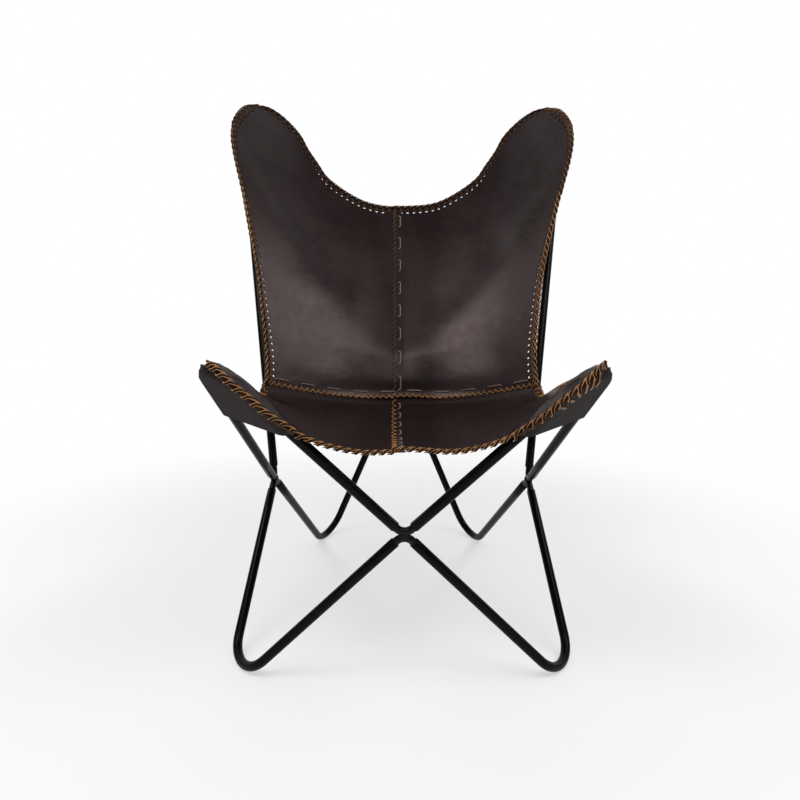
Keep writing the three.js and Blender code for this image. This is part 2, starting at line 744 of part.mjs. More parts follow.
const sling = new THREE.Group();
for (const name of Object.keys(panels)) sling.add(piece(name, panelGeometry(name), 'leather'));
const pockets = [
  ['front_pocket', frontCorner, lifts.front, FRONT_POCKET_DEPTH],
  ['back_pocket', backCorner, lifts.back, BACK_POCKET_DEPTH],
];
for (const [name, corner, lift, depth] of pockets) {
  const geometry = pocketGeometry(corner, lift, depth);
  sling.add(piece(`${name}_right`, geometry, 'pocket'));
  sling.add(mirror(`${name}_left`, geometry, 'pocket'));
}
for (const [name, points] of Object.entries(laces)) {
  const diameter = /edge$/.test(name) ? EDGE_LACE : SEAM_LACE;
  sling.add(piece(name, laceGeometry(points, diameter), 'lace'));
}

// The chair stands on its floor plane, centred under its outer box
const chair = new THREE.Group();
chair.add(frame, sling);
const box = new THREE.Box3().setFromObject(chair, true);
const middle = box.getCenter(new THREE.Vector3());
chair.position.set(-middle.x, -middle.y, -box.min.z);

export default chair;
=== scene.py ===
"""Butterfly sling chair: a knock-down frame of bent black tubes and a laced dark leather sling.

The forms are worked out in millimetres in the maker's layout, whose Y starts at the front feet.
Layout turns them into metres in the part's own frame.
"""

from __future__ import annotations

import logging
import math
from dataclasses import dataclass, field
from enum import Enum
from typing import Iterable, Sequence

import bpy
import numpy as np
from mathutils import Matrix, Vector, noise
from mathutils.bvhtree import BVHTree
from mathutils.geometry import delaunay_2d_cdt
from mathutils.kdtree import KDTree

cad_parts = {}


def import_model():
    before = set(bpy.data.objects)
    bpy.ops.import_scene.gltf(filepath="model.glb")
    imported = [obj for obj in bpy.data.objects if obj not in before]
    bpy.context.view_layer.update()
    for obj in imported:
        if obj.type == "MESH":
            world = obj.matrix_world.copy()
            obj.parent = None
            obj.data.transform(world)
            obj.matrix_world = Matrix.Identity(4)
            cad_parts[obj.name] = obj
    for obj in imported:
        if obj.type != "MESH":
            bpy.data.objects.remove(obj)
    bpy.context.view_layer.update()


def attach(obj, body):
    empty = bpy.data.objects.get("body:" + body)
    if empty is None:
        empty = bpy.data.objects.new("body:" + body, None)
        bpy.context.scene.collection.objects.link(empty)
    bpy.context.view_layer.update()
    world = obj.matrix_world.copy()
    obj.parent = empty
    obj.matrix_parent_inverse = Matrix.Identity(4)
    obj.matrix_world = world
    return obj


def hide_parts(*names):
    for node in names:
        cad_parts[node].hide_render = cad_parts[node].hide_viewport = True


LOG = logging.getLogger("sling_chair")
Array = np.ndarray
NodeTree = bpy.types.NodeTree
Socket = bpy.types.NodeSocket
Pair = tuple[float, float]
Triple = tuple[float, float, float]
Floats = tuple[float, ...]
Marks = tuple[Pair, ...]
Colour = Triple
Face = tuple[int, ...]
Path = tuple[Array, Array, Array]


class Layout:
    """Turns the maker's layout in millimetres into the part's frame in metres."""

    BACK_SHIFT = -264.6201
    SCALE = 0.001

    @classmethod
    def metres(cls, points: Array) -> Array:
        """Gives layout points, in millimetres, in metres in the part's frame."""
        return (np.asarray(points, float) + (0.0, cls.BACK_SHIFT, 0.0)) * cls.SCALE


class Side(Enum):
    """The two hands of the chair as seen from the front."""

    LEFT = -1
    RIGHT = 1

    @property
    def word(self) -> str:
        """The word that node names use for this side."""
        return self.name.lower()


class Panel(Enum):
    """The four lapped panels of the sling."""

    SEAT_LEFT = "seat_panel_left"
    SEAT_RIGHT = "seat_panel_right"
    BACK_LEFT = "back_panel_left"
    BACK_RIGHT = "back_panel_right"

    @property
    def is_back(self) -> bool:
        """Whether the panel belongs to the back."""
        return self in (Panel.BACK_LEFT, Panel.BACK_RIGHT)

    @property
    def side(self) -> Side:
        """The hand that the panel lies on."""
        return Side.RIGHT if self in (Panel.SEAT_RIGHT, Panel.BACK_RIGHT) else Side.LEFT


def unit(vectors: Array) -> Array:
    """Gives one vector, or one per row, at length one."""
    length = np.linalg.norm(vectors, axis=-1, keepdims=True)
    return vectors / np.maximum(length, 1e-12)


def ramp(share: Array) -> Array:
    """Gives the heights of a soft step from 0 to 1 at places along it."""
    t = np.clip(share, 0.0, 1.0)
    return t * t * (3.0 - 2.0 * t)


def blend(a: Array, b: Array, share: Array) -> Array:
    """Mixes a towards b by a share."""
    return a + (b - a) * share


def read(marks: Marks, at: Array) -> Array:
    """Reads a table of places and amounts at the places between them."""
    places, amounts = zip(*marks)
    return np.interp(at, places, amounts)


def mirrored(points: Array) -> Array:
    """Gives the mirror image of points across the chair's middle plane."""
    return np.asarray(points, float) * (-1.0, 1.0, 1.0)


def grid_faces(count: int, width: int, ring: bool = False, closed: bool = False) -> list[Face]:
    """Lists the faces of a grid of points.

    Args:
        count: Number of rows.
        width: Number of points in a row.
        ring: Whether the last point of a row joins its first.
        closed: Whether the last row joins the first.

    Returns:
        Four places per face.
    """
    faces = []
    for j in range(count if closed else count - 1):
        for i in range(width if ring else width - 1):
            k, n = (i + 1) % width, (j + 1) % count
            faces.append((j * width + i, j * width + k, n * width + k, n * width + i))
    return faces


def search_tree(points: Array) -> KDTree:
    """Builds a tree that finds the nearest of some points.

    Args:
        points: One point per row.

    Returns:
        The tree.
    """
    tree = KDTree(len(points))
    for k, point in enumerate(points):
        tree.insert(point, k)
    tree.balance()
    return tree


class Spline:
    """A centripetal spline through its points."""

    def __init__(self, points: Sequence[Array]) -> None:
        """Keeps the points that the curve passes through."""
        self.points = np.asarray(points, float)

    def at(self, share: Array) -> Array:
        """Gives points of the curve.

        Args:
            share: Places from 0 at the first point to 1 at the last.

        Returns:
            One point per place.
        """
        points = self.points
        place = np.clip(np.asarray(share, float), 0.0, 1.0) * (len(points) - 1)
        k = np.minimum(np.floor(place).astype(int), len(points) - 2)
        w = (place - k)[..., None]
        run = np.vstack([2 * points[0] - points[1], points, 2 * points[-1] - points[-2]])
        p0, p1, p2, p3 = run[k], run[k + 1], run[k + 2], run[k + 3]

        def gap(a: Array, b: Array) -> Array:
            """The knot distance between two points."""
            return np.maximum(np.sum((a - b) ** 2, axis=-1, keepdims=True), 1e-9) ** 0.25

        d0, d1, d2 = gap(p0, p1), gap(p1, p2), gap(p2, p3)
        m1 = ((p1 - p0) / d0 - (p2 - p0) / (d0 + d1) + (p2 - p1) / d1) * d1
        m2 = ((p2 - p1) / d1 - (p3 - p1) / (d1 + d2) + (p3 - p2) / d2) * d1
        square = 3 * (p2 - p1) - 2 * m1 - m2
        cube = 2 * (p1 - p2) + m1 + m2
        return p1 + m1 * w + square * w**2 + cube * w**3


@dataclass(frozen=True)
class Rod:
    """One bent solid rod of a connector, whose arms aim at two frame corners."""

    knee: Array
    first: Array
    second: Array
    shoulder: float


@dataclass(frozen=True)
class Crossing:
    """A connector: an upper and a lower rod, welded back to back."""

    middle: Array
    upper: Rod
    lower: Rod


def point_field(x: float, y: float, z: float) -> Array:
    """A dataclass field that holds a layout point."""
    return field(default_factory=lambda: np.array((x, y, z)))


@dataclass
class FrameForm:
    """The frame's corner points, where the straight centre lines of the tubes would meet."""

    tube_od: float = 14.0
    tube_wall: float = 1.2
    slip_fit: float = 0.3
    tube_bend: float = 50.0
    stub: float = 38.0
    rod_bend: float = 14.0
    weld_bite: float = 0.6
    knee_rounds: int = 6
    front_foot: Array = point_field(255.0, 0.0, -36.0826)
    back_foot: Array = point_field(161.0, 546.0, -32.1928)
    front_cross: Array = point_field(0.0, -54.0, 230.0)
    side_cross: Array = point_field(216.5, 233.0, 218.0)
    back_cross: Array = point_field(0.0, 580.0, 326.0)
    front_top: Array = point_field(263.0, -107.0, 495.0)
    back_top: Array = point_field(343.5, 645.0, 1010.0)
    bare_rod: Triple = (3.0, 8.0, 4.0)

    def __post_init__(self) -> None:
        """Works out the rods of the three kinds of crossing."""
        front, side, back = self.bare_rod
        self.radius = self.tube_od / 2
        self.bore = self.radius - self.tube_wall
        self.rod_radius = self.bore - self.slip_fit

        def both(corner: Array) -> tuple[Array, Array]:
            """A corner's mirror image and the corner."""
            return mirrored(corner), corner

        tops, feet = (self.front_top, self.back_top), (self.front_foot, self.back_foot)
        self.front = self.crossing(self.front_cross, both(tops[0]), both(feet[0]), front)
        self.right = self.crossing(self.side_cross, tops, feet, side)
        self.back = self.crossing(self.back_cross, both(tops[1]), both(feet[1]), back)

    def crossing(
        self, middle: Array, tops: Sequence[Array], feet: Sequence[Array], bare: float
    ) -> Crossing:
        """Welds a rod whose arms aim at two tops to one whose arms aim at two feet."""
        return Crossing(middle, self.rod(middle, *tops, bare), self.rod(middle, *feet, bare))

    def rod(self, cross: Array, first: Array, second: Array, bare: float) -> Rod:
        """Sets a rod's knee so that its bend just bites into the weld.

        Args:
            cross: The middle of the crossing.
            first: The corner that one arm aims at.
            second: The corner that the other arm aims at.
            bare: Length of rod that shows between its bend and the tube.

        Returns:
            The rod.
        """
        knee = cross.copy()
        shoulder = 0.0
        for _ in range(self.knee_rounds):
            to_first, to_second = unit(first - knee), unit(second - knee)
            half = math.acos(float(np.clip(to_first @ to_second, -1.0, 1.0))) / 2
            sagitta = self.rod_bend * (1 / math.sin(half) - 1)
            knee = cross + unit(to_first + to_second) * (self.rod_radius - self.weld_bite - sagitta)
            shoulder = self.rod_bend / math.tan(half) + bare
        return Rod(knee, first, second, shoulder)


@dataclass
class TopCorner:
    """The plane of a top bend: p inwards from its corner, q to the middle arm, n to the sitter.

    Attributes:
        name: Which corner, front or back.
        frame: The frame's sizes.
        corner: The bend's corner point.
        middle: The rod at the front or back crossing.
        drape: Height of the draped leather over the bend's plane.
        depth: How far the pocket reaches in from its tip.
        flange: How far the pocket stands out past the tube.
        hem_inset: How far the pocket's hem lies inside the sling's edge.
        hem_slack: How far the hem hangs away from the sling.
        swell: How far the outline stands out further, by distance from the tip.
        lifts: How far the sling's edge rises over its draped level, by distance from the tip.
        pull: How far the pocket is pulled in from the sling's outline, by distance from the tip.
    """

    name: str
    frame: FrameForm
    corner: Array
    middle: Rod
    drape: float
    depth: float
    flange: float
    hem_inset: float
    hem_slack: float
    swell: Marks
    lifts: Marks
    pull: Marks

    def __post_init__(self) -> None:
        """Measures the bend."""
        middle, side = self.middle, self.frame.right.upper
        a, b = unit(middle.knee - self.corner), unit(side.knee - self.corner)
        self.half = math.acos(float(a @ b)) / 2
        self.bis = unit(a + b)
        self.across = unit(a - b)
        normal = unit(np.cross(self.bis, self.across))
        self.normal = normal if normal[2] > 0 else -normal
        self.bend = self.frame.tube_bend
        self.reach = self.frame.radius + self.flange
        self.edge_radius = self.bend + self.reach
        self.bend_p = self.bend / math.sin(self.half)
        self.tip_p = self.bend_p - self.edge_radius
        self.arc = self.edge_radius * (math.pi / 2 - self.half)
        self.middle_arm = float(np.linalg.norm(middle.knee - self.corner)) - middle.shoulder
        self.side_arm = float(np.linalg.norm(side.knee - self.corner)) - side.shoulder

    def place(self, p: Array, q: Array, n: Array) -> Array:
        """Gives layout points from places in the bend's plane.

        Args:
            p: Distances inwards along the bisector.
            q: Distances across.
            n: Distances towards the sitter.

        Returns:
            One point per place.
        """
        p, q, n = np.broadcast_arrays(np.asarray(p, float), q, n)
        rise = p[..., None] * self.bis + q[..., None] * self.across
        return self.corner + rise + n[..., None] * self.normal

    def edge(self, s: float, lift: float) -> Array:
        """Gives the outline's point at s from the tip, negative to the side arm, and a height."""
        p, q = self.beside(abs(s), self.edge_radius + read(self.swell, s))
        return self.place(p, math.copysign(q, s) if s else 0.0, lift)

    def beside(self, s: float, radius: Array) -> tuple[Array, Array]:
        """Gives the place at a distance from the tip on a line beside the tube.

        Args:
            s: Distance from the tip along the outline.
            radius: The line's radius about the middle of the bend.

        Returns:
            Distances inwards along the bisector and across.
        """
        turn = min(s, self.arc) / self.edge_radius
        rest = max(0.0, s - self.arc)
        p = self.bend_p - radius * math.cos(turn) + rest * math.cos(self.half)
        return p, radius * math.sin(turn) + rest * math.sin(self.half)

    def hem(self, s: float) -> Array:
        """Gives a point of the sling's edge at a distance from the tip."""
        return self.edge(s, self.drape + float(read(self.lifts, s)))

    def in_bend(self, p: Array, q: Array) -> Array:
        """Tells which places lie beside the round of the bend."""
        return self.bend_p - p > np.abs(q) * math.tan(self.half)

    def let_out(self, p: Array, q: Array) -> tuple[Array, Array]:
        """Lets the pocket out beside the tube by the outline's swell.

        Args:
            p: Distances inwards along the bisector.
            q: Distances across.

        Returns:
            The moved places.
        """
        hand = np.where(q < 0, -1.0, 1.0)
        s = np.hypot(p - self.tip_p, q) * hand
        spread = read(self.swell, s) - read(self.pull, s)
        share = ramp(1 - self.inset(p, q) / (self.reach - self.frame.radius / 2)) * spread
        round_p = p - self.bend_p
        far = np.maximum(np.hypot(round_p, q), 1e-9)
        in_bend = self.in_bend(p, q)
        out_p = np.where(in_bend, round_p / far, -math.sin(self.half))
        out_q = np.where(in_bend, q / far, hand * math.cos(self.half))
        return p + out_p * share, q + out_q * share

    def inset(self, p: Array, q: Array) -> Array:
        """Gives distances inwards from the outline to places of the plane.

        Args:
            p: Distances inwards along the bisector.
            q: Distances across.

        Returns:
            One inset per place.
        """
        arm = p * math.sin(self.half) - np.abs(q) * math.cos(self.half) + self.reach
        bend = self.edge_radius - np.hypot(p - self.bend_p, q)
        return np.where(self.in_bend(p, q), bend, arm)

    def half_width(self, p: float, inset: float) -> float:
        """Gives half the pocket's width at p, to a line that lies an inset inside its outline.

        Args:
            p: Distance inwards along the bisector.
            inset: Distance inside the outline.

        Returns:
            Half the width.
        """
        radius = self.edge_radius - inset
        if p >= self.bend_p - radius * math.sin(self.half):
            return p * math.tan(self.half) + (self.reach - inset) / math.cos(self.half)
        return math.sqrt(max(0.0, radius**2 - (p - self.bend_p) ** 2))

    def off_centre(self, points: Array) -> tuple[Array, Array]:
        """Measures points against the bent tube.

        Args:
            points: Layout points.

        Returns:
            Distances from the tube's centre line in the bend's plane, and heights over that plane.
        """
        d = points - self.corner
        p, q, n = d @ self.bis, d @ self.across, d @ self.normal
        far = p * math.cos(self.half) + np.abs(q) * math.sin(self.half)
        line = np.abs(p * math.sin(self.half) - np.abs(q) * math.cos(self.half))
        bend = np.abs(np.hypot(p - self.bend_p, q) - self.bend)
        flat = np.where(far > self.bend / math.tan(self.half), line, bend)
        limit = np.where(q > 0, self.middle_arm, self.side_arm)
        return np.where(far > limit, 1e6, flat), n


@dataclass
class SlingForm:
    """The hanging surface of the sling: u from the centre to a side edge, v from front to top."""

    frame: FrameForm
    leather: float = 2.6
    layer_gap: float = 0.3
    lap: float = 15.0
    lap_flat: float = 21.0
    lap_fade: float = 60.0
    hem_inset: Pair = (1.0, 3.0)
    hem_slack: Pair = (0.0, 3.0)
    drape_slack: float = 1.0
    edge_lift: float = 4.0
    flange: Pair = (10.0, 18.0)
    pocket_depth: Pair = (112.0, 190.0)
    seat_front_height: float = 335.0
    seat_front_set_back: float = 24.0
    seat_low_height: float = 301.0
    seat_shares: Triple = (0.5, 0.5, 0.55)
    crotch_height: float = 330.0
    crotch_ahead: float = 182.0
    back_edge_height: float = 696.0
    back_edge_behind: float = 54.0
    back_shares: Floats = (0.2, 0.41, 0.62, 0.82)
    waist: Triple = (24.0, 36.0, 139.0)
    wing_shares: Pair = (0.5, 0.94)
    arm_marks: Marks = ((2.35, 0.8), (1.45, 0.3))
    lobe_marks: Pair = (120.0, 40.0)
    seam_rise: float = 20.0
    hammock_power: float = 2.1
    row_fades: Pair = (0.16, 0.2)
    seam_v: float = 4 / 9
    normal_step: float = 0.004
    front_marks: Floats = (162.0, 134.0, 106.0, 78.0, 50.0, 25.0)
    top_marks: Floats = (210.0, 172.0, 135.0, 97.0, 60.0, 30.0)
    front_half: Pair = (0.5, 7.5)
    top_half: Pair = (0.5, 11.0)
    tuck: float = 9.0
    tuck_rows: Pair = (0.40, 0.74)
    lifts: tuple[Marks, Marks] = (
        ((-220, 17), (-112, 19), (-50, -1), (-25, -6), (0, -7), (50, -15), (106, -14), (162, -5)),
        ((-120, 0), (0, 0), (60, 4), (135, 20), (210, 40)),
    )
    pulls: tuple[Marks, Marks] = (
        ((-130, -14), (-112, -13), (-85, -1), (-60, 6), (-30, 8), (0, 8), (30, 5), (60, 0)),
        ((-230, 20), (-190, 18), (-150, 9), (-110, 2), (-60, 0), (0, 0)),
    )
    swells: tuple[Marks, Marks] = (
        ((-260, 0), (-112, 6), (-50, 2), (0, 0), (160, 0)),
        (
            *((-330, 2), (-200, 18), (-130, 17), (-60, 5), (-35, 2)),
            *((0, 6), (50, 14), (95, 16), (140, 8), (200, 2)),
        ),
    )
    roll_height: float = 22.0
    roll_rows: Pair = (8.0, 30.0)
    roll_narrows: float = 0.7
    fan: Triple = (85.0, 200.0, 120.0)
    fan_soft: float = 14.0

    def __post_init__(self) -> None:
        """Works out the pocket corners and the curves that the surface hangs between."""
        frame = self.frame
        self.layer = self.leather + self.layer_gap
        self.drape = frame.radius + self.layer_gap + self.leather / 2
        self.front_corner = self.corner(0, "front", frame.front_top, frame.front.upper)
        self.back_corner = self.corner(1, "back", frame.back_top, frame.back.upper)
        self.side_edge = self.side_curve()
        self.centre = self.centre_curve()
        front, top = self.seat_front(), self.back_edge()
        self.front_row = self.edge_row(front, self.front_corner, self.front_marks, self.front_half)
        self.top_row = self.edge_row(top, self.back_corner, self.top_marks, self.top_half)
        run = self.centre.at(np.linspace(0, 1, 400))
        self.row_length = float(np.linalg.norm(np.diff(run, axis=0), axis=1).sum())
        self.lap_v = self.lap / self.row_length

    def corner(self, place: int, name: str, corner: Array, middle: Rod) -> TopCorner:
        """Measures a top corner with its pocket's sizes.

        Args:
            place: The corner's place in the pairs of sizes.
            name: Which corner.
            corner: The bend's corner point.
            middle: The rod at the front or back crossing.

        Returns:
            The corner.
        """
        pairs = (self.pocket_depth, self.flange, self.hem_inset, self.hem_slack)
        tables = (self.swells, self.lifts, self.pulls)
        sizes = [pair[place] for pair in (*pairs, *tables)]
        return TopCorner(name, self.frame, corner, middle, self.drape, *sizes)

    def side_curve(self) -> Spline:
        """Draws the right side edge from the front tip to the top of the back.

        Returns:
            The curve.
        """
        front, back = self.front_corner, self.back_corner
        waist = self.frame.side_cross + np.array(self.waist)
        wing = front.hem(-front.depth)

        def arm(depths: float, share: float) -> Array:
            """A point beside the tube that the back's edge follows."""
            inwards = back.across * back.flange * share
            return back.edge(-back.depth * depths, self.drape + self.edge_lift) + inwards

        return Spline(
            [
                front.hem(0),
                wing,
                *[blend(wing, waist, share) for share in self.wing_shares],
                waist + (0.0, self.seam_rise, self.seam_rise),
                *[arm(depths, share) for depths, share in self.arm_marks],
                *[back.hem(-s) for s in self.lobe_marks],
                back.hem(0),
            ]
        )

    def centre_curve(self) -> Spline:
        """Draws the centre line from the seat's front to the top of the back.

        Returns:
            The curve.
        """
        front, top = self.seat_front(), self.back_edge()
        crotch = self.frame.back_cross - (0.0, self.crotch_ahead, 0.0)
        crotch[2] = self.crotch_height
        low_share, fore_share, aft_share = self.seat_shares
        low = blend(front, crotch, low_share)
        low[2] = self.seat_low_height
        fore, aft = blend(front, low, fore_share), blend(low, crotch, aft_share)
        fore[2] = (self.seat_front_height + self.seat_low_height * 2) / 3
        aft[2] = (self.crotch_height + self.seat_low_height * 3) / 4
        rise = [blend(crotch, top, share) for share in self.back_shares]
        return Spline([front, fore, low, aft, crotch, *rise, top])

    def seat_front(self) -> Array:
        """The middle of the front edge."""
        y = self.frame.front_cross[1] + self.seat_front_set_back
        return np.array((0.0, y, self.seat_front_height))

    def back_edge(self) -> Array:
        """The middle of the top edge."""
        y = self.frame.back_foot[1] + self.back_edge_behind
        return np.array((0.0, y, self.back_edge_height))

    @staticmethod
    def edge_row(middle: Array, corner: TopCorner, marks: Floats, half: Pair) -> Spline:
        """Draws an edge row whole, with its mirror image, so that it is smooth at the centre.

        Args:
            middle: The middle of the edge.
            corner: The top corner that it runs to.
            marks: Distances of its points from the corner's tip.
            half: Place and rise of one more point, between the middle and the first mark.

        Returns:
            The row.
        """
        hang, *rest = [corner.hem(s) for s in (*marks, 0)]
        between = blend(middle, hang, half[0])
        between[2] = middle[2] + half[1]
        points = [middle, between, hang, *rest]
        return Spline([*[mirrored(p) for p in points[:0:-1]], *points])

    def free(self, u: Array, v: Array) -> Array:
        """Gives points of the surface before it is draped over the tubes.

        Args:
            u: Places across, from -1 at the left edge to 1 at the right.
            v: Places along, from 0 at the front edge to 1 at the top.

        Returns:
            One point per place.
        """
        u, v = np.broadcast_arrays(u, v)
        size = np.abs(u)
        rise = (size**self.hammock_power)[..., None]

        def hang(edge: Array, centre: Array) -> Array:
            """Hangs rows between the centre and the side edge.

            Args:
                edge: Points of the side edge.
                centre: Points of the centre line.

            Returns:
                One point per place.
            """
            row = centre + (edge - centre) * rise
            row[..., 0] = edge[..., 0] * size
            return row

        point = hang(self.side_edge.at(v), self.centre.at(v))
        front_far, top_far = v / self.row_fades[0], (1 - v) / self.row_fades[1]
        for row, end, far in ((self.front_row, 0.0, front_far), (self.top_row, 1.0, top_far)):
            ends = np.full(v.shape, end)
            plain = hang(self.side_edge.at(ends), self.centre.at(ends))
            point = point + (self.across_row(row, size) - plain) * ramp(1 - far)[..., None]
        point[..., 0] *= np.where(u < 0, -1.0, 1.0)
        return point

    @staticmethod
    def across_row(row: Spline, size: Array) -> Array:
        """Gives points of an edge row by their share of its half width.

        Args:
            row: The whole edge row.
            size: Shares from 0 at the centre to 1 at the end.

        Returns:
            One point per share.
        """
        along = np.linspace(0.5, 1.0, 500)
        width = np.maximum.accumulate(row.at(along)[:, 0])
        return row.at(np.interp(size * width[-1], width, along))

    def point(self, u: Array, v: Array) -> Array:
        """Gives points of the surface, lifted off the tubes that it drapes over.

        Args:
            u: Places across.
            v: Places along.

        Returns:
            One point per place.
        """
        u, v = np.broadcast_arrays(u, v)
        points = self.free(np.abs(u), v)
        need = self.drape + self.drape_slack
        for corner in (self.front_corner, self.back_corner):
            flat, n = corner.off_centre(points)
            over = np.sqrt(np.maximum(0.0, need**2 - flat**2)) - n
            push = np.where((flat < need) & (n < need) & (over < self.frame.tube_od * 2), over, 0.0)
            points = points + np.maximum(push, 0.0)[..., None] * corner.normal
        low, high = self.tuck_rows
        share = np.sin(np.clip((v - low) / (high - low), 0.0, 1.0) * math.pi) ** 2
        points[..., 0] -= np.where(u > 0, self.tuck, 0.0) * share * np.abs(u) ** 3
        points[..., 0] *= np.where(u < 0, -1.0, 1.0)
        return points

    def normal(self, u: Array, v: Array) -> Array:
        """Gives the directions from the surface towards the sitter.

        Args:
            u: Places across.
            v: Places along.

        Returns:
            One unit vector per place.
        """
        step = self.normal_step
        u, v = np.broadcast_arrays(u, v)
        du = self.free(np.minimum(u + step, 1), v) - self.free(np.maximum(u - step, -1), v)
        dv = self.free(u, np.minimum(v + step, 1)) - self.free(u, np.maximum(v - step, 0))
        return unit(np.cross(du, dv))

    def lap_u(self, v: Array) -> Array:
        """The share of a row's half width that the centre lap takes."""
        return self.lap / self.side_edge.at(v)[..., 0]

    def layers(self, panel: Panel, u: Array, v: Array) -> Array:
        """Gives how many leather layers a panel is raised by at its laps.

        Args:
            panel: The panel.
            u: Places across.
            v: Places along.

        Returns:
            One height per place, in layers.
        """

        def raised(far: Array) -> Array:
            """The share of a layer at distances from a lap."""
            return 1 - ramp((far - self.lap_flat) / self.lap_fade)

        centre = raised(np.abs(u) * self.side_edge.at(v)[..., 0])
        seam = raised(np.abs(v - self.seam_v) * self.row_length)
        over_left = centre if panel.side is Side.RIGHT else 0.0 * centre
        return over_left + (seam * (1 + centre) if panel.is_back else 0.0)

    def roll(self, u: Array, v: Array) -> Array:
        """Gives the height of the roll above the cross seam, which fans out from the centre.

        Args:
            u: Places across.
            v: Places along.

        Returns:
            One height per place.
        """
        soft, scale = self.roll_rows
        low, spread, fade = self.fan
        far = (v - self.seam_v + self.lap_v) * self.row_length
        past = np.logaddexp(0.0, (far - low - spread * np.abs(u)) / self.fan_soft) * self.fan_soft
        climb = soft * np.logaddexp(0.0, far / soft)
        rise = (1 - np.exp(-climb / scale)) * np.exp(-past / fade)
        return self.roll_height * rise * (1 - self.roll_narrows * np.abs(u) ** 3)

    def on_panel(self, panel: Panel, u: Array, v: Array) -> Array:
        """Gives points of a panel's middle layer.

        Args:
            panel: The panel.
            u: Places across.
            v: Places along.

        Returns:
            One point per place.
        """
        u, v = np.broadcast_arrays(u, v)
        height = self.layers(panel, u, v) * self.layer + self.roll(u, v)
        return self.point(u, v) + self.normal(u, v) * height[..., None]


class MeshDraft:
    """Collects points and faces, and makes an object of them."""

    def __init__(self) -> None:
        """Starts empty."""
        self.points: list[Array] = []
        self.faces: list[Face] = []
        self.slots: list[int] = []
        self.zones: list[int] = []
        self.count = 0

    def add(self, points: Array, faces: Iterable[Face], slot: int = 0, zone: int = 0) -> int:
        """Adds points with faces that use them.

        Args:
            points: Layout points.
            faces: Faces as places in points.
            slot: Material slot of the faces.
            zone: Faces of different zones meet at a sharp edge.

        Returns:
            The place of the first new point.
        """
        start = self.count
        self.points.append(np.asarray(points, float).reshape(-1, 3))
        self.count += len(self.points[-1])
        self.join([tuple(start + k for k in face) for face in faces], slot, zone)
        return start

    def join(self, faces: Iterable[Face], slot: int, zone: int) -> None:
        """Adds faces between points that are there already.

        Args:
            faces: Faces as places in the whole draft.
            slot: Material slot of the faces.
            zone: Faces of different zones meet at a sharp edge.
        """
        for face in faces:
            self.faces.append(face)
            self.slots.append(slot)
            self.zones.append(zone)

    def sheet(
        self,
        middle: Array,
        normals: Array,
        faces: Sequence[Face],
        thickness: float,
        slots: tuple[int, int, int] = (0, 1, 2),
    ) -> None:
        """Adds a closed sheet of one thickness about a middle layer.

        Args:
            middle: Points of the middle layer.
            normals: Directions to the sheet's face.
            faces: Faces of the middle layer.
            thickness: The sheet's thickness.
            slots: Material slots of the face, the underside and the cut edge.
        """
        count = len(middle)
        start = self.add(middle + normals * thickness / 2, faces, slots[0], 0)
        self.add(middle - normals * thickness / 2, [face[::-1] for face in faces], slots[1], 1)
        edges = dict.fromkeys(edge for face in faces for edge in zip(face, face[1:] + face[:1]))
        rim = [(a, b) for a, b in edges if (b, a) not in edges]
        low = start + count
        self.join([(start + b, start + a, low + a, low + b) for a, b in rim], slots[2], 2)

    def to_object(self, name: str, materials: Sequence[bpy.types.Material]) -> bpy.types.Object:
        """Makes the object, smooth within each zone.

        Args:
            name: The object's name.
            materials: Its material slots in order.

        Returns:
            The object, linked to the scene.
        """
        mesh = bpy.data.meshes.new(name)
        mesh.from_pydata(Layout.metres(np.vstack(self.points)).tolist(), [], self.faces)
        for material in materials:
            mesh.materials.append(material)
        mesh.polygons.foreach_set("material_index", self.slots)
        mesh.polygons.foreach_set("use_smooth", [True] * len(self.faces))
        zones: dict[tuple[int, int], set[int]] = {}
        for face, zone in zip(self.faces, self.zones):
            for a, b in zip(face, face[1:] + face[:1]):
                zones.setdefault((min(a, b), max(a, b)), set()).add(zone)
        sharp = mesh.attributes.new("sharp_edge", "BOOLEAN", "EDGE")
        keys = ((min(e.vertices), max(e.vertices)) for e in mesh.edges)
        sharp.data.foreach_set("value", [len(zones.get(key, ())) > 1 for key in keys])
        mesh.update()
        piece = bpy.data.objects.new(name, mesh)
        bpy.context.scene.collection.objects.link(piece)
        return piece


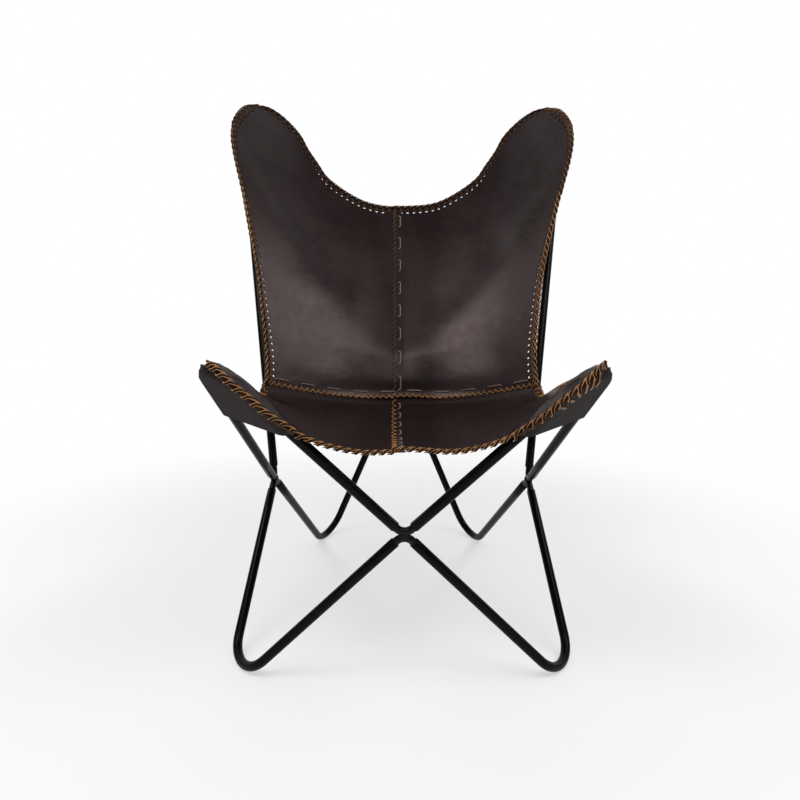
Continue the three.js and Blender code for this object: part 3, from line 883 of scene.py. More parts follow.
class NodeSheet:
    """Lays out shader nodes in a tree."""

    PITCH = 180

    def __init__(self, tree: NodeTree) -> None:
        """Keeps a material's, world's or group's node tree."""
        self.tree = tree
        self.at = 0

    @classmethod
    def fresh(cls, owner: bpy.types.Material | bpy.types.World) -> NodeSheet:
        """Clears the nodes of a material or a world.

        Args:
            owner: The material or the world.

        Returns:
            An empty sheet on its tree.
        """
        owner.use_nodes = True
        owner.node_tree.nodes.clear()
        return cls(owner.node_tree)

    def add(self, kind: str, values: dict | None = None, **options: object) -> bpy.types.Node:
        """Adds a node.

        Args:
            kind: The node's type name.
            values: Values or sockets for its inputs, by name or place.
            options: Settings of the node.

        Returns:
            The node.
        """
        node = self.tree.nodes.new(kind)
        node.location = (self.at, 0)
        self.at += self.PITCH
        for name, value in options.items():
            setattr(node, name, value)
        for key, value in (values or {}).items():
            self.feed(node.inputs[key], value)
        return node

    def feed(self, target: Socket, value: object) -> None:
        """Sets an input to a value, or links it to a socket.

        Args:
            target: The input.
            value: A value or a socket.
        """
        if isinstance(value, Socket):
            self.tree.links.new(value, target)
        else:
            target.default_value = value

    def math(self, operation: str, first: object, second: object) -> Socket:
        """Adds a sum of two values or sockets."""
        return self.add("ShaderNodeMath", {0: first, 1: second}, operation=operation).outputs[0]

    def total(self, *parts: tuple[object, float]) -> Socket:
        """Adds up sockets by their weights.

        Args:
            parts: Sockets, each with its weight.

        Returns:
            The sum's socket.
        """
        first, *rest = [self.math("MULTIPLY", value, weight) for value, weight in parts]
        for part in rest:
            first = self.math("ADD", first, part)
        return first

    def spread(
        self, value: object, low: float, high: float, ends: tuple[object, object] = (0.0, 1.0)
    ) -> Socket:
        """Stretches a range of values to another.

        Args:
            value: The socket.
            low: Where the range starts.
            high: Where it ends.
            ends: Values or sockets for both ends of the new range.

        Returns:
            The result's socket.
        """
        values = {"Value": value, "From Min": low, "From Max": high}
        values |= {"To Min": ends[0], "To Max": ends[1]}
        return self.add("ShaderNodeMapRange", values).outputs["Result"]

    def mix(self, share: object, first: object, second: object) -> Socket:
        """Adds a mix of two colours by a share."""
        values = {0: share, 6: first, 7: second}
        return self.add("ShaderNodeMix", values, data_type="RGBA").outputs[2]


class EffectGroup:
    """A shader node group that several finishes share."""

    OUTPUTS = ("Tone", "Roughness", "Height")

    def __init__(self, name: str, inputs: dict[str, float]) -> None:
        """Makes the group's sockets.

        Args:
            name: The group's name.
            inputs: Number inputs and their defaults.
        """
        self.tree = bpy.data.node_groups.new(name, "ShaderNodeTree")
        sockets = self.tree.interface
        for key, value in inputs.items():
            socket = sockets.new_socket(key, in_out="INPUT", socket_type="NodeSocketFloat")
            socket.default_value = value
        for key in self.OUTPUTS:
            sockets.new_socket(key, in_out="OUTPUT", socket_type="NodeSocketFloat")
        self.sheet = NodeSheet(self.tree)
        self.inputs = self.sheet.add("NodeGroupInput").outputs

    def coordinates(self) -> Socket:
        """Adds the piece's own coordinates, in metres."""
        return self.sheet.add("ShaderNodeTexCoord").outputs["Object"]

    def noise(self, scale: object, detail: float, roughness: float = 0.55) -> Socket:
        """Adds a cloud of noise on the piece's coordinates.

        Args:
            scale: A number or a socket, per metre.
            detail: Number of finer octaves.
            roughness: Strength of the finer octaves.

        Returns:
            The noise value's socket.
        """
        values = {"Vector": self.coordinates(), "Scale": scale}
        values |= {"Detail": detail, "Roughness": roughness}
        return self.sheet.add("ShaderNodeTexNoise", values).outputs["Fac"]

    def gloss(self, value: object, low: float, high: float) -> Socket:
        """Stretches a value between the group's two roughness inputs."""
        ends = (self.inputs["Roughness low"], self.inputs["Roughness high"])
        return self.sheet.spread(value, low, high, ends)

    def close(self, *results: Socket) -> NodeTree:
        """Links the group's tone, roughness and height, and gives its tree."""
        self.sheet.add("NodeGroupOutput", dict(zip(self.OUTPUTS, results)))
        return self.tree


class Effects:
    """The shader node groups, built once, each with outputs Tone, Roughness and Height."""

    def __init__(self) -> None:
        """Builds the three groups."""
        self.hide = self.hide_grain()
        self.nap = self.suede_nap()
        self.powder = self.powder_coat()

    @staticmethod
    def hide_grain() -> NodeTree:
        """Builds pebbled hide: mottled tone, pores and soft creases.

        Returns:
            The group's tree.
        """
        inputs = {"Pebble scale": 780.0, "Mottle scale": 7.0}
        group = EffectGroup("Hide grain", inputs | {"Roughness low": 0.25, "Roughness high": 0.38})
        sheet = group.sheet
        cells = sheet.add(
            "ShaderNodeTexVoronoi",
            {"Vector": group.coordinates(), "Scale": group.inputs["Pebble scale"]},
            feature="DISTANCE_TO_EDGE",
        )
        pebble = sheet.spread(cells.outputs["Distance"], 0.0, 0.22)
        mottle = group.noise(group.inputs["Mottle scale"], 5.0)
        crease = group.noise(62.0, 3.0, 0.5)
        pull = group.noise(420.0, 4.0, 0.7)
        tone = sheet.spread(sheet.total((mottle, 0.75), (pull, 0.25)), 0.35, 0.65)
        gloss = group.gloss(sheet.total((mottle, 0.6), (crease, 0.4)), 0.3, 0.7)
        return group.close(tone, gloss, sheet.total((pebble, 0.08), (pull, 0.25), (crease, 1.2)))

    @staticmethod
    def suede_nap() -> NodeTree:
        """Builds the fibrous nap of split or cut leather.

        Returns:
            The group's tree.
        """
        group = EffectGroup("Suede nap", {"Fibre scale": 1500.0, "Patch scale": 24.0})
        sheet = group.sheet
        fibre = group.noise(group.inputs["Fibre scale"], 3.0, 0.8)
        patch = group.noise(group.inputs["Patch scale"], 4.0)
        tone = sheet.spread(sheet.total((fibre, 0.55), (patch, 0.45)), 0.36, 0.64)
        gloss = sheet.math("ADD", sheet.math("MULTIPLY", patch, 0.2), 0.72)
        return group.close(tone, gloss, fibre)

    @staticmethod
    def powder_coat() -> NodeTree:
        """Builds the orange peel, scuffs and dust of powder coat.

        Returns:
            The group's tree.
        """
        inputs = {"Peel scale": 520.0, "Roughness low": 0.2, "Roughness high": 0.36}
        group = EffectGroup("Powder coat", inputs)
        peel = group.noise(group.inputs["Peel scale"], 2.0, 0.5)
        scuff = group.noise(34.0, 6.0, 0.7)
        worn = group.sheet.spread(scuff, 0.55, 0.8)
        return group.close(worn, group.gloss(scuff, 0.32, 0.72), peel)


class Surface(Enum):
    """The effect that a finish is built on."""

    HIDE = "hide"
    NAP = "nap"
    POWDER = "powder"


@dataclass(frozen=True)
class Finish:
    """One finish: two tones mixed by an effect, with its own gloss and relief."""

    name: str
    surface: Surface
    dark: Colour
    light: Colour
    relief: float
    specular: float = 0.5
    tint: Colour = (1.0, 1.0, 1.0)
    sheen: float = 0.0
    effect: tuple[tuple[str, float], ...] = ()

    def make(self, effects: Effects) -> bpy.types.Material:
        """Builds the material.

        Args:
            effects: The shared node groups.

        Returns:
            The material.
        """
        material = bpy.data.materials.new(self.name)
        sheet = NodeSheet.fresh(material)
        tree = getattr(effects, self.surface.value)
        group = sheet.add("ShaderNodeGroup", node_tree=tree)
        for key, value in self.effect:
            group.inputs[key].default_value = value
        relief = {"Strength": 1.0, "Distance": self.relief, "Height": group.outputs["Height"]}
        bump = sheet.add("ShaderNodeBump", relief)
        tone = sheet.mix(group.outputs["Tone"], (*self.dark, 1.0), (*self.light, 1.0))
        shader = sheet.add(
            "ShaderNodeBsdfPrincipled",
            {
                "Base Color": tone,
                "Roughness": group.outputs["Roughness"],
                "Normal": bump.outputs["Normal"],
                "Specular IOR Level": self.specular,
                "Specular Tint": (*self.tint, 1.0),
                "Sheen Weight": self.sheen,
            },
        )
        sheet.add("ShaderNodeOutputMaterial", {"Surface": shader.outputs["BSDF"]})
        return material


SADDLE = Finish(
    "Saddle leather",
    Surface.HIDE,
    (0.0092, 0.005, 0.0051),
    (0.0146, 0.0081, 0.0083),
    0.00022,
    0.3,
    (1.0, 0.78, 0.77),
)
# Pocket leather: the saddle hide with its gloss turned down and a lighter, greyer tone. The lighter
# tone is painted sheen that stands for the light the flaps catch.
POCKET_PAINTED_SHEEN = Finish(
    "Pocket leather",
    Surface.HIDE,
    (0.016, 0.0115, 0.0115),
    (0.026, 0.0195, 0.0195),
    0.00022,
    0.03,
    effect=(("Roughness low", 0.6), ("Roughness high", 0.76)),
)
FLESH = Finish(
    "Flesh side", Surface.NAP, (0.022, 0.013, 0.009), (0.048, 0.029, 0.02), 0.0003, 0.2, sheen=0.15
)
CUT_EDGE = Finish("Cut edge", Surface.NAP, (0.03, 0.016, 0.01), (0.07, 0.036, 0.02), 0.0003, 0.2)
THONG_FACE = Finish(
    "Thong face", Surface.HIDE, (0.011, 0.006, 0.004), (0.028, 0.014, 0.008), 0.0002, 0.06
)
THONG_RAW = Finish(
    "Thong raw edge", Surface.NAP, (0.3, 0.135, 0.05), (0.62, 0.31, 0.13), 0.0002, 0.15
)
# A copy of the raw edge at about half its brightness, for the laces high on the sling and the
# centre back lace.
THONG_DARK_EDGE = Finish(
    "Thong darkened edge", Surface.NAP, (0.085, 0.038, 0.016), (0.3, 0.14, 0.06), 0.0002, 0.12
)
STITCH = Finish(
    "Running stitch", Surface.NAP, (0.13, 0.085, 0.07), (0.26, 0.185, 0.16), 0.0002, 0.2
)
TUBE = Finish(
    "Gloss powder coat",
    Surface.POWDER,
    (0.0032, 0.0032, 0.0036),
    (0.008, 0.008, 0.0085),
    0.00004,
    0.07,
)
ROD = Finish(
    "Rod powder coat",
    Surface.POWDER,
    (0.0045, 0.0045, 0.005),
    (0.011, 0.011, 0.0115),
    0.00007,
    0.16,
    effect=(("Roughness low", 0.3), ("Roughness high", 0.48), ("Peel scale", 700.0)),
)


@dataclass
class Finishes:
    """The finishes as materials."""

    effects: Effects

    def __post_init__(self) -> None:
        """Builds every material once."""
        self.saddle = SADDLE.make(self.effects)
        # The pocket leather's lighter tone is painted sheen.
        self.pocket = POCKET_PAINTED_SHEEN.make(self.effects)
        self.flesh = FLESH.make(self.effects)
        self.cut = CUT_EDGE.make(self.effects)
        self.thong = THONG_FACE.make(self.effects)
        self.raw = THONG_RAW.make(self.effects)
        self.worn = THONG_DARK_EDGE.make(self.effects)
        self.stitch = STITCH.make(self.effects)
        self.tube = TUBE.make(self.effects)
        self.rod = ROD.make(self.effects)


def settle(piece: bpy.types.Object, nodes: Sequence[str] = ()) -> None:
    """Ties a piece to the chair's body and the solids that it stands for.

    Args:
        piece: The finished piece.
        nodes: The CAD nodes that it replaces.
    """
    if nodes:
        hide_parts(*nodes)
    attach(piece, "root")
    LOG.info("%s: %d faces", piece.name, len(piece.data.polygons))


@dataclass
class TubeFrame:
    """The knock-down frame: eight bent tubes and four welded connectors."""

    form: FrameForm
    finishes: Finishes
    sides: int = 28
    bend_steps: int = 22
    leg_steps: int = 6
    lip: float = 0.35
    nose_length: float = 1.8
    nose_share: float = 0.72
    bead_half: float = 9.0
    bead_radius: float = 3.0
    bead_out: float = 0.62
    bead_steps: int = 25
    bead_tip: float = 0.02
    ripple: Pair = (0.12, 26.0)

    def build(self) -> None:
        """Makes the tubes and the connectors of both sides."""
        form = self.form
        tubes = {
            "foot_tube_front": (form.front.lower, form.front_foot, form.right.lower),
            "foot_tube_back": (form.back.lower, form.back_foot, form.right.lower),
            "top_tube_front": (form.front.upper, form.front_top, form.right.upper),
            "top_tube_back": (form.back.upper, form.back_top, form.right.upper),
        }
        for name, (first, corner, second) in tubes.items():
            for side in Side:
                self.tube(f"{name}_{side.word}", first, corner, second, side)
        self.connector("cross_connector_front", form.front, Side.RIGHT)
        self.connector("cross_connector_back", form.back, Side.RIGHT)
        for side in Side:
            self.connector(f"cross_connector_{side.word}", form.right, side)

    def bent_path(self, start: Array, corner: Array, end: Array, radius: float) -> Path:
        """Draws a straight, a round bend and a straight.

        Args:
            start: First point.
            corner: Where the straights would meet.
            end: Last point.
            radius: Bend radius of the centre line.

        Returns:
            Points, tangents and the normal of the bend's plane.
        """
        a, b = unit(start - corner), unit(end - corner)
        half = math.acos(float(a @ b)) / 2
        centre = corner + unit(a + b) * radius / math.sin(half)
        out = unit(corner - centre)
        along = unit(b - a)
        sweep = math.pi / 2 - half
        turns = np.linspace(-sweep, sweep, self.bend_steps + 1)[:, None]
        bend = centre + radius * (np.cos(turns) * out + np.sin(turns) * along)
        tangent = np.cos(turns) * along - np.sin(turns) * out
        count = self.leg_steps
        legs = np.linspace(0, 1, count + 1)[:-1, None]
        first, last = start + (bend[0] - start) * legs, end + (bend[-1] - end) * legs[::-1]
        tangents = np.vstack([np.repeat(-a[None], count, 0), tangent, np.repeat(b[None], count, 0)])
        return np.vstack([first, bend, last]), tangents, unit(np.cross(a, b))

    def rings(self, path: Path, radius: float) -> Array:
        """Places a circle of points about each point of a path.

        Args:
            path: Points, tangents and plane normal.
            radius: The circle's radius.

        Returns:
            One row of points per path point.
        """
        points, tangents, plane = path
        angle = np.linspace(0, 2 * math.pi, self.sides, endpoint=False)[None, :, None]
        second = np.cross(tangents, plane)[:, None, :]
        return points[:, None, :] + radius * (np.cos(angle) * plane + np.sin(angle) * second)

    def end(self, path: Path, place: int, push: float, radius: float) -> Array:
        """Places one circle of points at an end of a path, pushed along it."""
        points, tangents, plane = path[0][[place]], path[1][[place]], path[2]
        return self.rings((points + tangents * push, tangents, plane), radius)

    def tube(self, name: str, first: Rod, corner: Array, second: Rod, side: Side) -> None:
        """Makes one hollow bent tube with softened ends.

        Args:
            name: The CAD node's name.
            first: The rod that its first end slips over.
            corner: The bend's corner point.
            second: The rod that its other end slips over.
            side: The hand of the chair.
        """
        form = self.form
        start = first.knee + unit(corner - first.knee) * first.shoulder
        end = second.knee + unit(corner - second.knee) * second.shoulder
        path = self.bent_path(start, corner, end, form.tube_bend)
        shift = path[1] * self.lip
        outer = self.rings(path, form.radius)
        outer[0] += shift[0]
        outer[-1] -= shift[-1]
        inner = self.rings(path, form.bore)[::-1]
        first_lip, last_lip = (self.end(path, k, 0.0, form.radius - self.lip) for k in (0, -1))
        rows = np.vstack([first_lip, outer, last_lip, inner])
        if corner[2] < 0:
            rows[..., 2] = np.maximum(rows[..., 2], 0.0)
        if side is Side.LEFT:
            rows = mirrored(rows)[:, ::-1]
        draft = MeshDraft()
        draft.add(rows, grid_faces(*rows.shape[:2], ring=True, closed=True))
        settle(draft.to_object(f"{name}_round", [self.finishes.tube]), [name])

    def connector(self, name: str, crossing: Crossing, side: Side) -> None:
        """Makes two bent rods with their weld beads.

        Args:
            name: The CAD node's name.
            crossing: The crossing.
            side: The hand of the chair.
        """
        form = self.form
        draft = MeshDraft()
        for rod in (crossing.upper, crossing.lower):
            reach = rod.shoulder + form.stub
            start = rod.knee + unit(rod.first - rod.knee) * reach
            end = rod.knee + unit(rod.second - rod.knee) * reach
            path = self.bent_path(start, rod.knee, end, form.rod_bend)
            rows = self.rings(path, form.rod_radius)
            tip, collar = form.rod_radius * self.nose_share, form.rod_radius
            first = [self.end(path, 0, 0.0, tip), self.end(path, 0, self.nose_length, collar)]
            last = [self.end(path, -1, -self.nose_length, collar), self.end(path, -1, 0.0, tip)]
            self.add_rod(draft, np.vstack([*first, rows[1:-1], *last]), side)
        self.add_beads(draft, crossing, side)
        settle(draft.to_object(f"{name}_welded", [self.finishes.rod]), [name])

    def add_rod(self, draft: MeshDraft, rows: Array, side: Side) -> None:
        """Adds a solid rod with flat ends.

        Args:
            draft: The draft to add to.
            rows: Rings of points.
            side: The hand of the chair.
        """
        if side is Side.LEFT:
            rows = mirrored(rows)[:, ::-1]
        start = draft.add(rows, grid_faces(*rows.shape[:2], ring=True))
        last = start + (len(rows) - 1) * self.sides
        draft.join([tuple(start + i for i in range(self.sides))[::-1]], 0, 1)
        draft.join([tuple(last + i for i in range(self.sides))], 0, 1)

    def add_beads(self, draft: MeshDraft, crossing: Crossing, side: Side) -> None:
        """Adds a rippled weld bead on each face of a crossing.

        Args:
            draft: The draft to add to.
            crossing: The crossing.
            side: The hand of the chair.
        """
        upper, middle = crossing.upper, crossing.middle
        along = unit(unit(upper.second - middle) - unit(upper.first - middle))
        up = unit(upper.knee - crossing.lower.knee) * math.copysign(1.0, middle[2])
        face = unit(np.cross(along, up))
        steps = np.linspace(-1, 1, self.bead_steps)
        depth, waves = self.ripple
        swell = np.sqrt(np.maximum(self.bead_tip, 1 - steps**2))
        swell = swell * (1 + depth * np.cos(steps * waves))
        angle = np.linspace(0, 2 * math.pi, self.sides, endpoint=False)[:, None]
        circle = np.cos(angle) * face + np.sin(angle) * np.cross(along, face)
        for hand in (-1.0, 1.0):
            points = middle + face * hand * self.form.rod_radius * self.bead_out
            points = points + steps[:, None] * along * self.bead_half
            rows = points[:, None] + (swell * self.bead_radius)[:, None, None] * circle
            self.add_rod(draft, rows, side)


class SheetCutter:
    """Cuts a leather sheet with punched holes to lie on a curved surface."""

    ABOVE = 4000.0
    NUDGES = (0.0, 0.013, -0.017, 0.041)
    NUDGE_SLANT = 0.7
    NEIGHBOURS = 8
    NEAR = 1.5
    CLEAR = 0.52
    ROW_PITCH = 0.866
    MERGE = 1e-5

    def __init__(self, grid: Array, normals: Array, spacing: float) -> None:
        """Prepares the surface.

        Args:
            grid: Rows of points of the surface.
            normals: Directions to the sitter at the same places.
            spacing: Distance between points of the cut sheet.
        """
        self.grid = grid
        self.spacing = spacing
        self.points = grid.reshape(-1, 3)
        self.normals = normals.reshape(-1, 3)
        self.tree = BVHTree.FromPolygons(self.points.tolist(), grid_faces(*grid.shape[:2]))
        self.near = search_tree(self.points)
        self.up = unit(self.normals.mean(axis=0))
        self.right = unit(np.array((1.0, 0.0, 0.0)) - self.up * self.up[0])
        self.ahead = np.cross(self.up, self.right)

    def flat(self, points: Array) -> Array:
        """Gives the places of layout points on the cutting table."""
        return np.stack([points @ self.right, points @ self.ahead], axis=-1)

    def lifted(self, place: Array) -> tuple[Array, Array]:
        """Finds the surface above a place of the cutting table.

        Args:
            place: Two numbers.

        Returns:
            The surface point and its normal.
        """
        foot = self.right * place[0] + self.ahead * place[1]
        hit = None
        for nudge in self.NUDGES:
            start = foot + self.up * self.ABOVE + self.right * nudge
            start = start + self.ahead * nudge * self.NUDGE_SLANT
            hit = hit or self.tree.ray_cast(Vector(start), Vector(-self.up))[0]
        if hit is None:
            guess = foot + self.up * float(self.points.mean(axis=0) @ self.up)
            hit, _, _, _ = self.tree.find_nearest(Vector(guess))
        found = self.near.find_n(hit, self.NEIGHBOURS)
        weight = np.array([1 / (gap + self.NEAR) for _, _, gap in found])[:, None]
        normal = unit((self.normals[[k for _, k, _ in found]] * weight).sum(axis=0))
        return np.array(hit), normal

    def outline(self) -> Array:
        """The sheet's outline, once round."""
        grid = self.grid
        return np.vstack([grid[0, :-1], grid[:-1, -1], grid[-1, :0:-1], grid[:0:-1, 0]])

    @staticmethod
    def inside(places: Array, outline: Array) -> Array:
        """Tells which places lie inside an outline.

        Args:
            places: Places on the table.
            outline: A closed outline on the table.

        Returns:
            One truth per place.
        """
        result = np.zeros(len(places), bool)
        after = np.roll(outline, -1, axis=0)
        for (x0, y0), (x1, y1) in zip(outline, after):
            crosses = (y0 > places[:, 1]) != (y1 > places[:, 1])
            reach = x0 + (places[:, 1] - y0) * (x1 - x0) / ((y1 - y0) or 1e-12)
            result ^= crosses & (places[:, 0] < reach)
        return result

    def filling(self, outline: Array, kept: KDTree) -> Array:
        """Spaces places evenly inside an outline.

        Args:
            outline: The sheet's outline on the table.
            kept: The places of the outline and the holes.

        Returns:
            The places that stand clear of those.
        """
        step, low, high = self.spacing, outline.min(axis=0), outline.max(axis=0)
        fill = []
        for j, y in enumerate(np.arange(low[1], high[1], step * self.ROW_PITCH)):
            for x in np.arange(low[0] + (j % 2) * step / 2, high[0], step):
                fill.append((x, y))
        places = np.array(fill)
        places = places[self.inside(places, outline)]
        clear = step * self.CLEAR
        return np.array([p for p in places if kept.find((p[0], p[1], 0.0))[2] > clear])

    def cut(self, holes: Sequence[Array]) -> tuple[Array, Array, list[Face]]:
        """Cuts the sheet.

        Args:
            holes: Rings of points round each punched hole.

        Returns:
            Points, normals and faces of the sheet's middle layer.
        """
        edge = self.outline()
        loops = [self.flat(edge), *[self.flat(ring) for ring in holes]]
        kept = np.vstack(loops)
        fill_places = self.filling(loops[0], search_tree(np.pad(kept, ((0, 0), (0, 1)))))
        places = np.vstack([kept, fill_places])
        rings, start = [], 0
        for loop in loops:
            rings.append(list(range(start, start + len(loop))))
            start += len(loop)
        owner = {k: r for r, ring in enumerate(rings) if r for k in ring}
        edges = [edge for ring in rings for edge in zip(ring, ring[1:] + ring[:1])]
        made = delaunay_2d_cdt([Vector(p) for p in places], edges, [], 1, self.MERGE)
        at, faces, origin = made[0], made[2], made[3]
        source = [o[0] if o else -1 for o in origin]
        points, normals = np.zeros((len(at), 3)), np.zeros((len(at), 3))
        for k, place in enumerate(at):
            points[k], normals[k] = self.lifted(np.array(place))
            if 0 <= source[k] < len(edge):
                points[k] = edge[source[k]]
        cut = []
        for face in faces:
            owners = {owner.get(source[k], -1) for k in face}
            if len(owners) == 1 and -1 not in owners:
                continue
            a, b, c = (points[k] for k in face[:3])
            turned = np.cross(b - a, c - a) @ normals[face[0]] < 0
            cut.append(tuple(face[::-1]) if turned else tuple(face))
        used = sorted({k for face in cut for k in face})
        index = {k: i for i, k in enumerate(used)}
        return points[used], normals[used], [tuple(index[k] for k in face) for face in cut]


class EdgeRun:
    """A band along an edge of the sling, by distance along it and into the sheet."""

    STEP = 2.0
    REACH = 25.0

    def __init__(self, bands: Array, up: Array, marks: Array) -> None:
        """Measures the band.

        Args:
            bands: Points of the surface, a row per place along the edge, running into the sheet.
            up: A direction on the side of the stitches at each place.
            marks: Two numbers that name each place along the edge.
        """
        reach = np.arange(0.0, self.REACH, self.STEP)
        far = np.linalg.norm(np.diff(bands, axis=1), axis=2).cumsum(axis=1)
        far = np.concatenate([np.zeros((len(bands), 1)), far], axis=1)
        self.grid = np.array(
            [
                np.stack([np.interp(reach, gone, row[:, k]) for k in range(3)], axis=1)
                for gone, row in zip(far, bands)
            ]
        )
        normals = unit(np.cross(np.gradient(self.grid, axis=0), np.gradient(self.grid, axis=1)))
        hand = np.where(np.einsum("ijk,ik->ij", normals, up) < 0, -1.0, 1.0)
        self.normals = normals * hand[..., None]
        self.marks = marks
        steps = np.linalg.norm(np.diff(self.grid[:, 0], axis=0), axis=1)
        self.far = np.concatenate([[0.0], np.cumsum(steps)])
        self.length = float(self.far[-1])

    @property
    def points(self) -> Array:
        """The edge's own points."""
        return self.grid[:, 0]

    def frame(self, s: float, inset: float) -> tuple[Array, Array, Array]:
        """Gives the surface beside the edge.

        Args:
            s: Distance along the edge.
            inset: Distance into the sheet, negative outside it.

        Returns:
            Point, inward direction and normal.
        """
        s = min(max(s, 0.0), self.length)
        k = min(int(np.searchsorted(self.far, s, "right")) - 1, len(self.far) - 2)
        w = (s - self.far[k]) / max(self.far[k + 1] - self.far[k], 1e-9)
        place = min(max(inset, 0.0) / self.STEP, self.grid.shape[1] - 1.001)
        j = int(place)
        rows = self.grid[k] * (1 - w) + self.grid[k + 1] * w
        ups = self.normals[k] * (1 - w) + self.normals[k + 1] * w
        point = blend(rows[j], rows[j + 1], place - j)
        inward = unit(rows[j + 1] - rows[j])
        normal = unit(blend(ups[j], ups[j + 1], place - j))
        return point + inward * min(inset, 0.0), inward, normal

    def place(self, s: float, inset: float, height: float) -> Array:
        """Gives the point at s along the edge, an inset and a height over the middle layer."""
        point, _, normal = self.frame(s, inset)
        return point + normal * height

    def stations(self, pitch: float) -> list[float]:
        """Spaces stitches evenly along the edge, about a pitch apart."""
        count = max(1, round(self.length / pitch))
        return [(k + 0.5) * self.length / count for k in range(count)]

    def mark(self, s: float) -> Pair:
        """Gives the two numbers that name a place along the edge."""
        u, v = (float(np.interp(s, self.far, self.marks[:, k])) for k in range(2))
        return u, v


@dataclass
class SlingEdges:
    """The runs along the sling's outer edges and laps."""

    form: SlingForm
    into: Pair = (0.13, 0.04)
    reach: float = 0.985
    seat_ends: Pair = (0.012, 0.004)
    band_steps: int = 24

    def __post_init__(self) -> None:
        """Draws the four outer edges and the three laps."""
        into_u, into_v = self.into
        seam = self.form.seam_v - self.form.lap_v
        across, up = np.linspace(-1, 1, 420), np.linspace(0, 1, 420)
        inner = np.linspace(-self.reach, self.reach, 380)
        back = np.linspace(self.reach, seam, 260)
        seat = np.linspace(seam - self.seat_ends[1], self.seat_ends[0], 200)
        self.front = self.run(across, 0.0, (0.0, into_v))
        self.top = self.run(across, 1.0, (0.0, -into_v))
        self.cross = self.run(inner, seam, (0.0, into_v))
        self.left = self.run(-1.0, up, (into_u, 0.0))
        self.right = self.run(1.0, up, (-into_u, 0.0))
        self.centre_back = self.run(-self.form.lap_u(back), back, (into_u, 0.0))
        self.centre_seat = self.run(-self.form.lap_u(seat), seat, (into_u, 0.0))

    def run(self, u: Array, v: Array, inward: Pair) -> EdgeRun:
        """Measures the band along an edge, on the panel that lies on top at each of its points.

        Args:
            u: Places across of the edge's points.
            v: Places along of the edge's points.
            inward: A step in u and v that leads well into the sheet.

        Returns:
            The edge.
        """
        u, v = np.broadcast_arrays(u, v)
        right = u >= -self.form.lap_u(v)
        back = v >= self.form.seam_v - self.form.lap_v
        share = np.linspace(0, 1, self.band_steps)[None, :]
        us, vs = u[:, None] + share * inward[0], v[:, None] + share * inward[1]
        bands = np.zeros((*us.shape, 3))
        for panel in Panel:
            own = (right == (panel.side is Side.RIGHT)) & (back == panel.is_back)
            if own.any():
                bands[own] = self.form.on_panel(panel, us[own], vs[own])
        return EdgeRun(bands, self.form.normal(u, v), np.stack([u, v], axis=1))

    def outer(self) -> dict[str, EdgeRun]:
        """The outer edges by the names of their lace nodes."""
        return {
            "lace_front_edge": self.front,
            "lace_top_edge": self.top,
            "lace_left_edge": self.left,
            "lace_right_edge": self.right,
        }


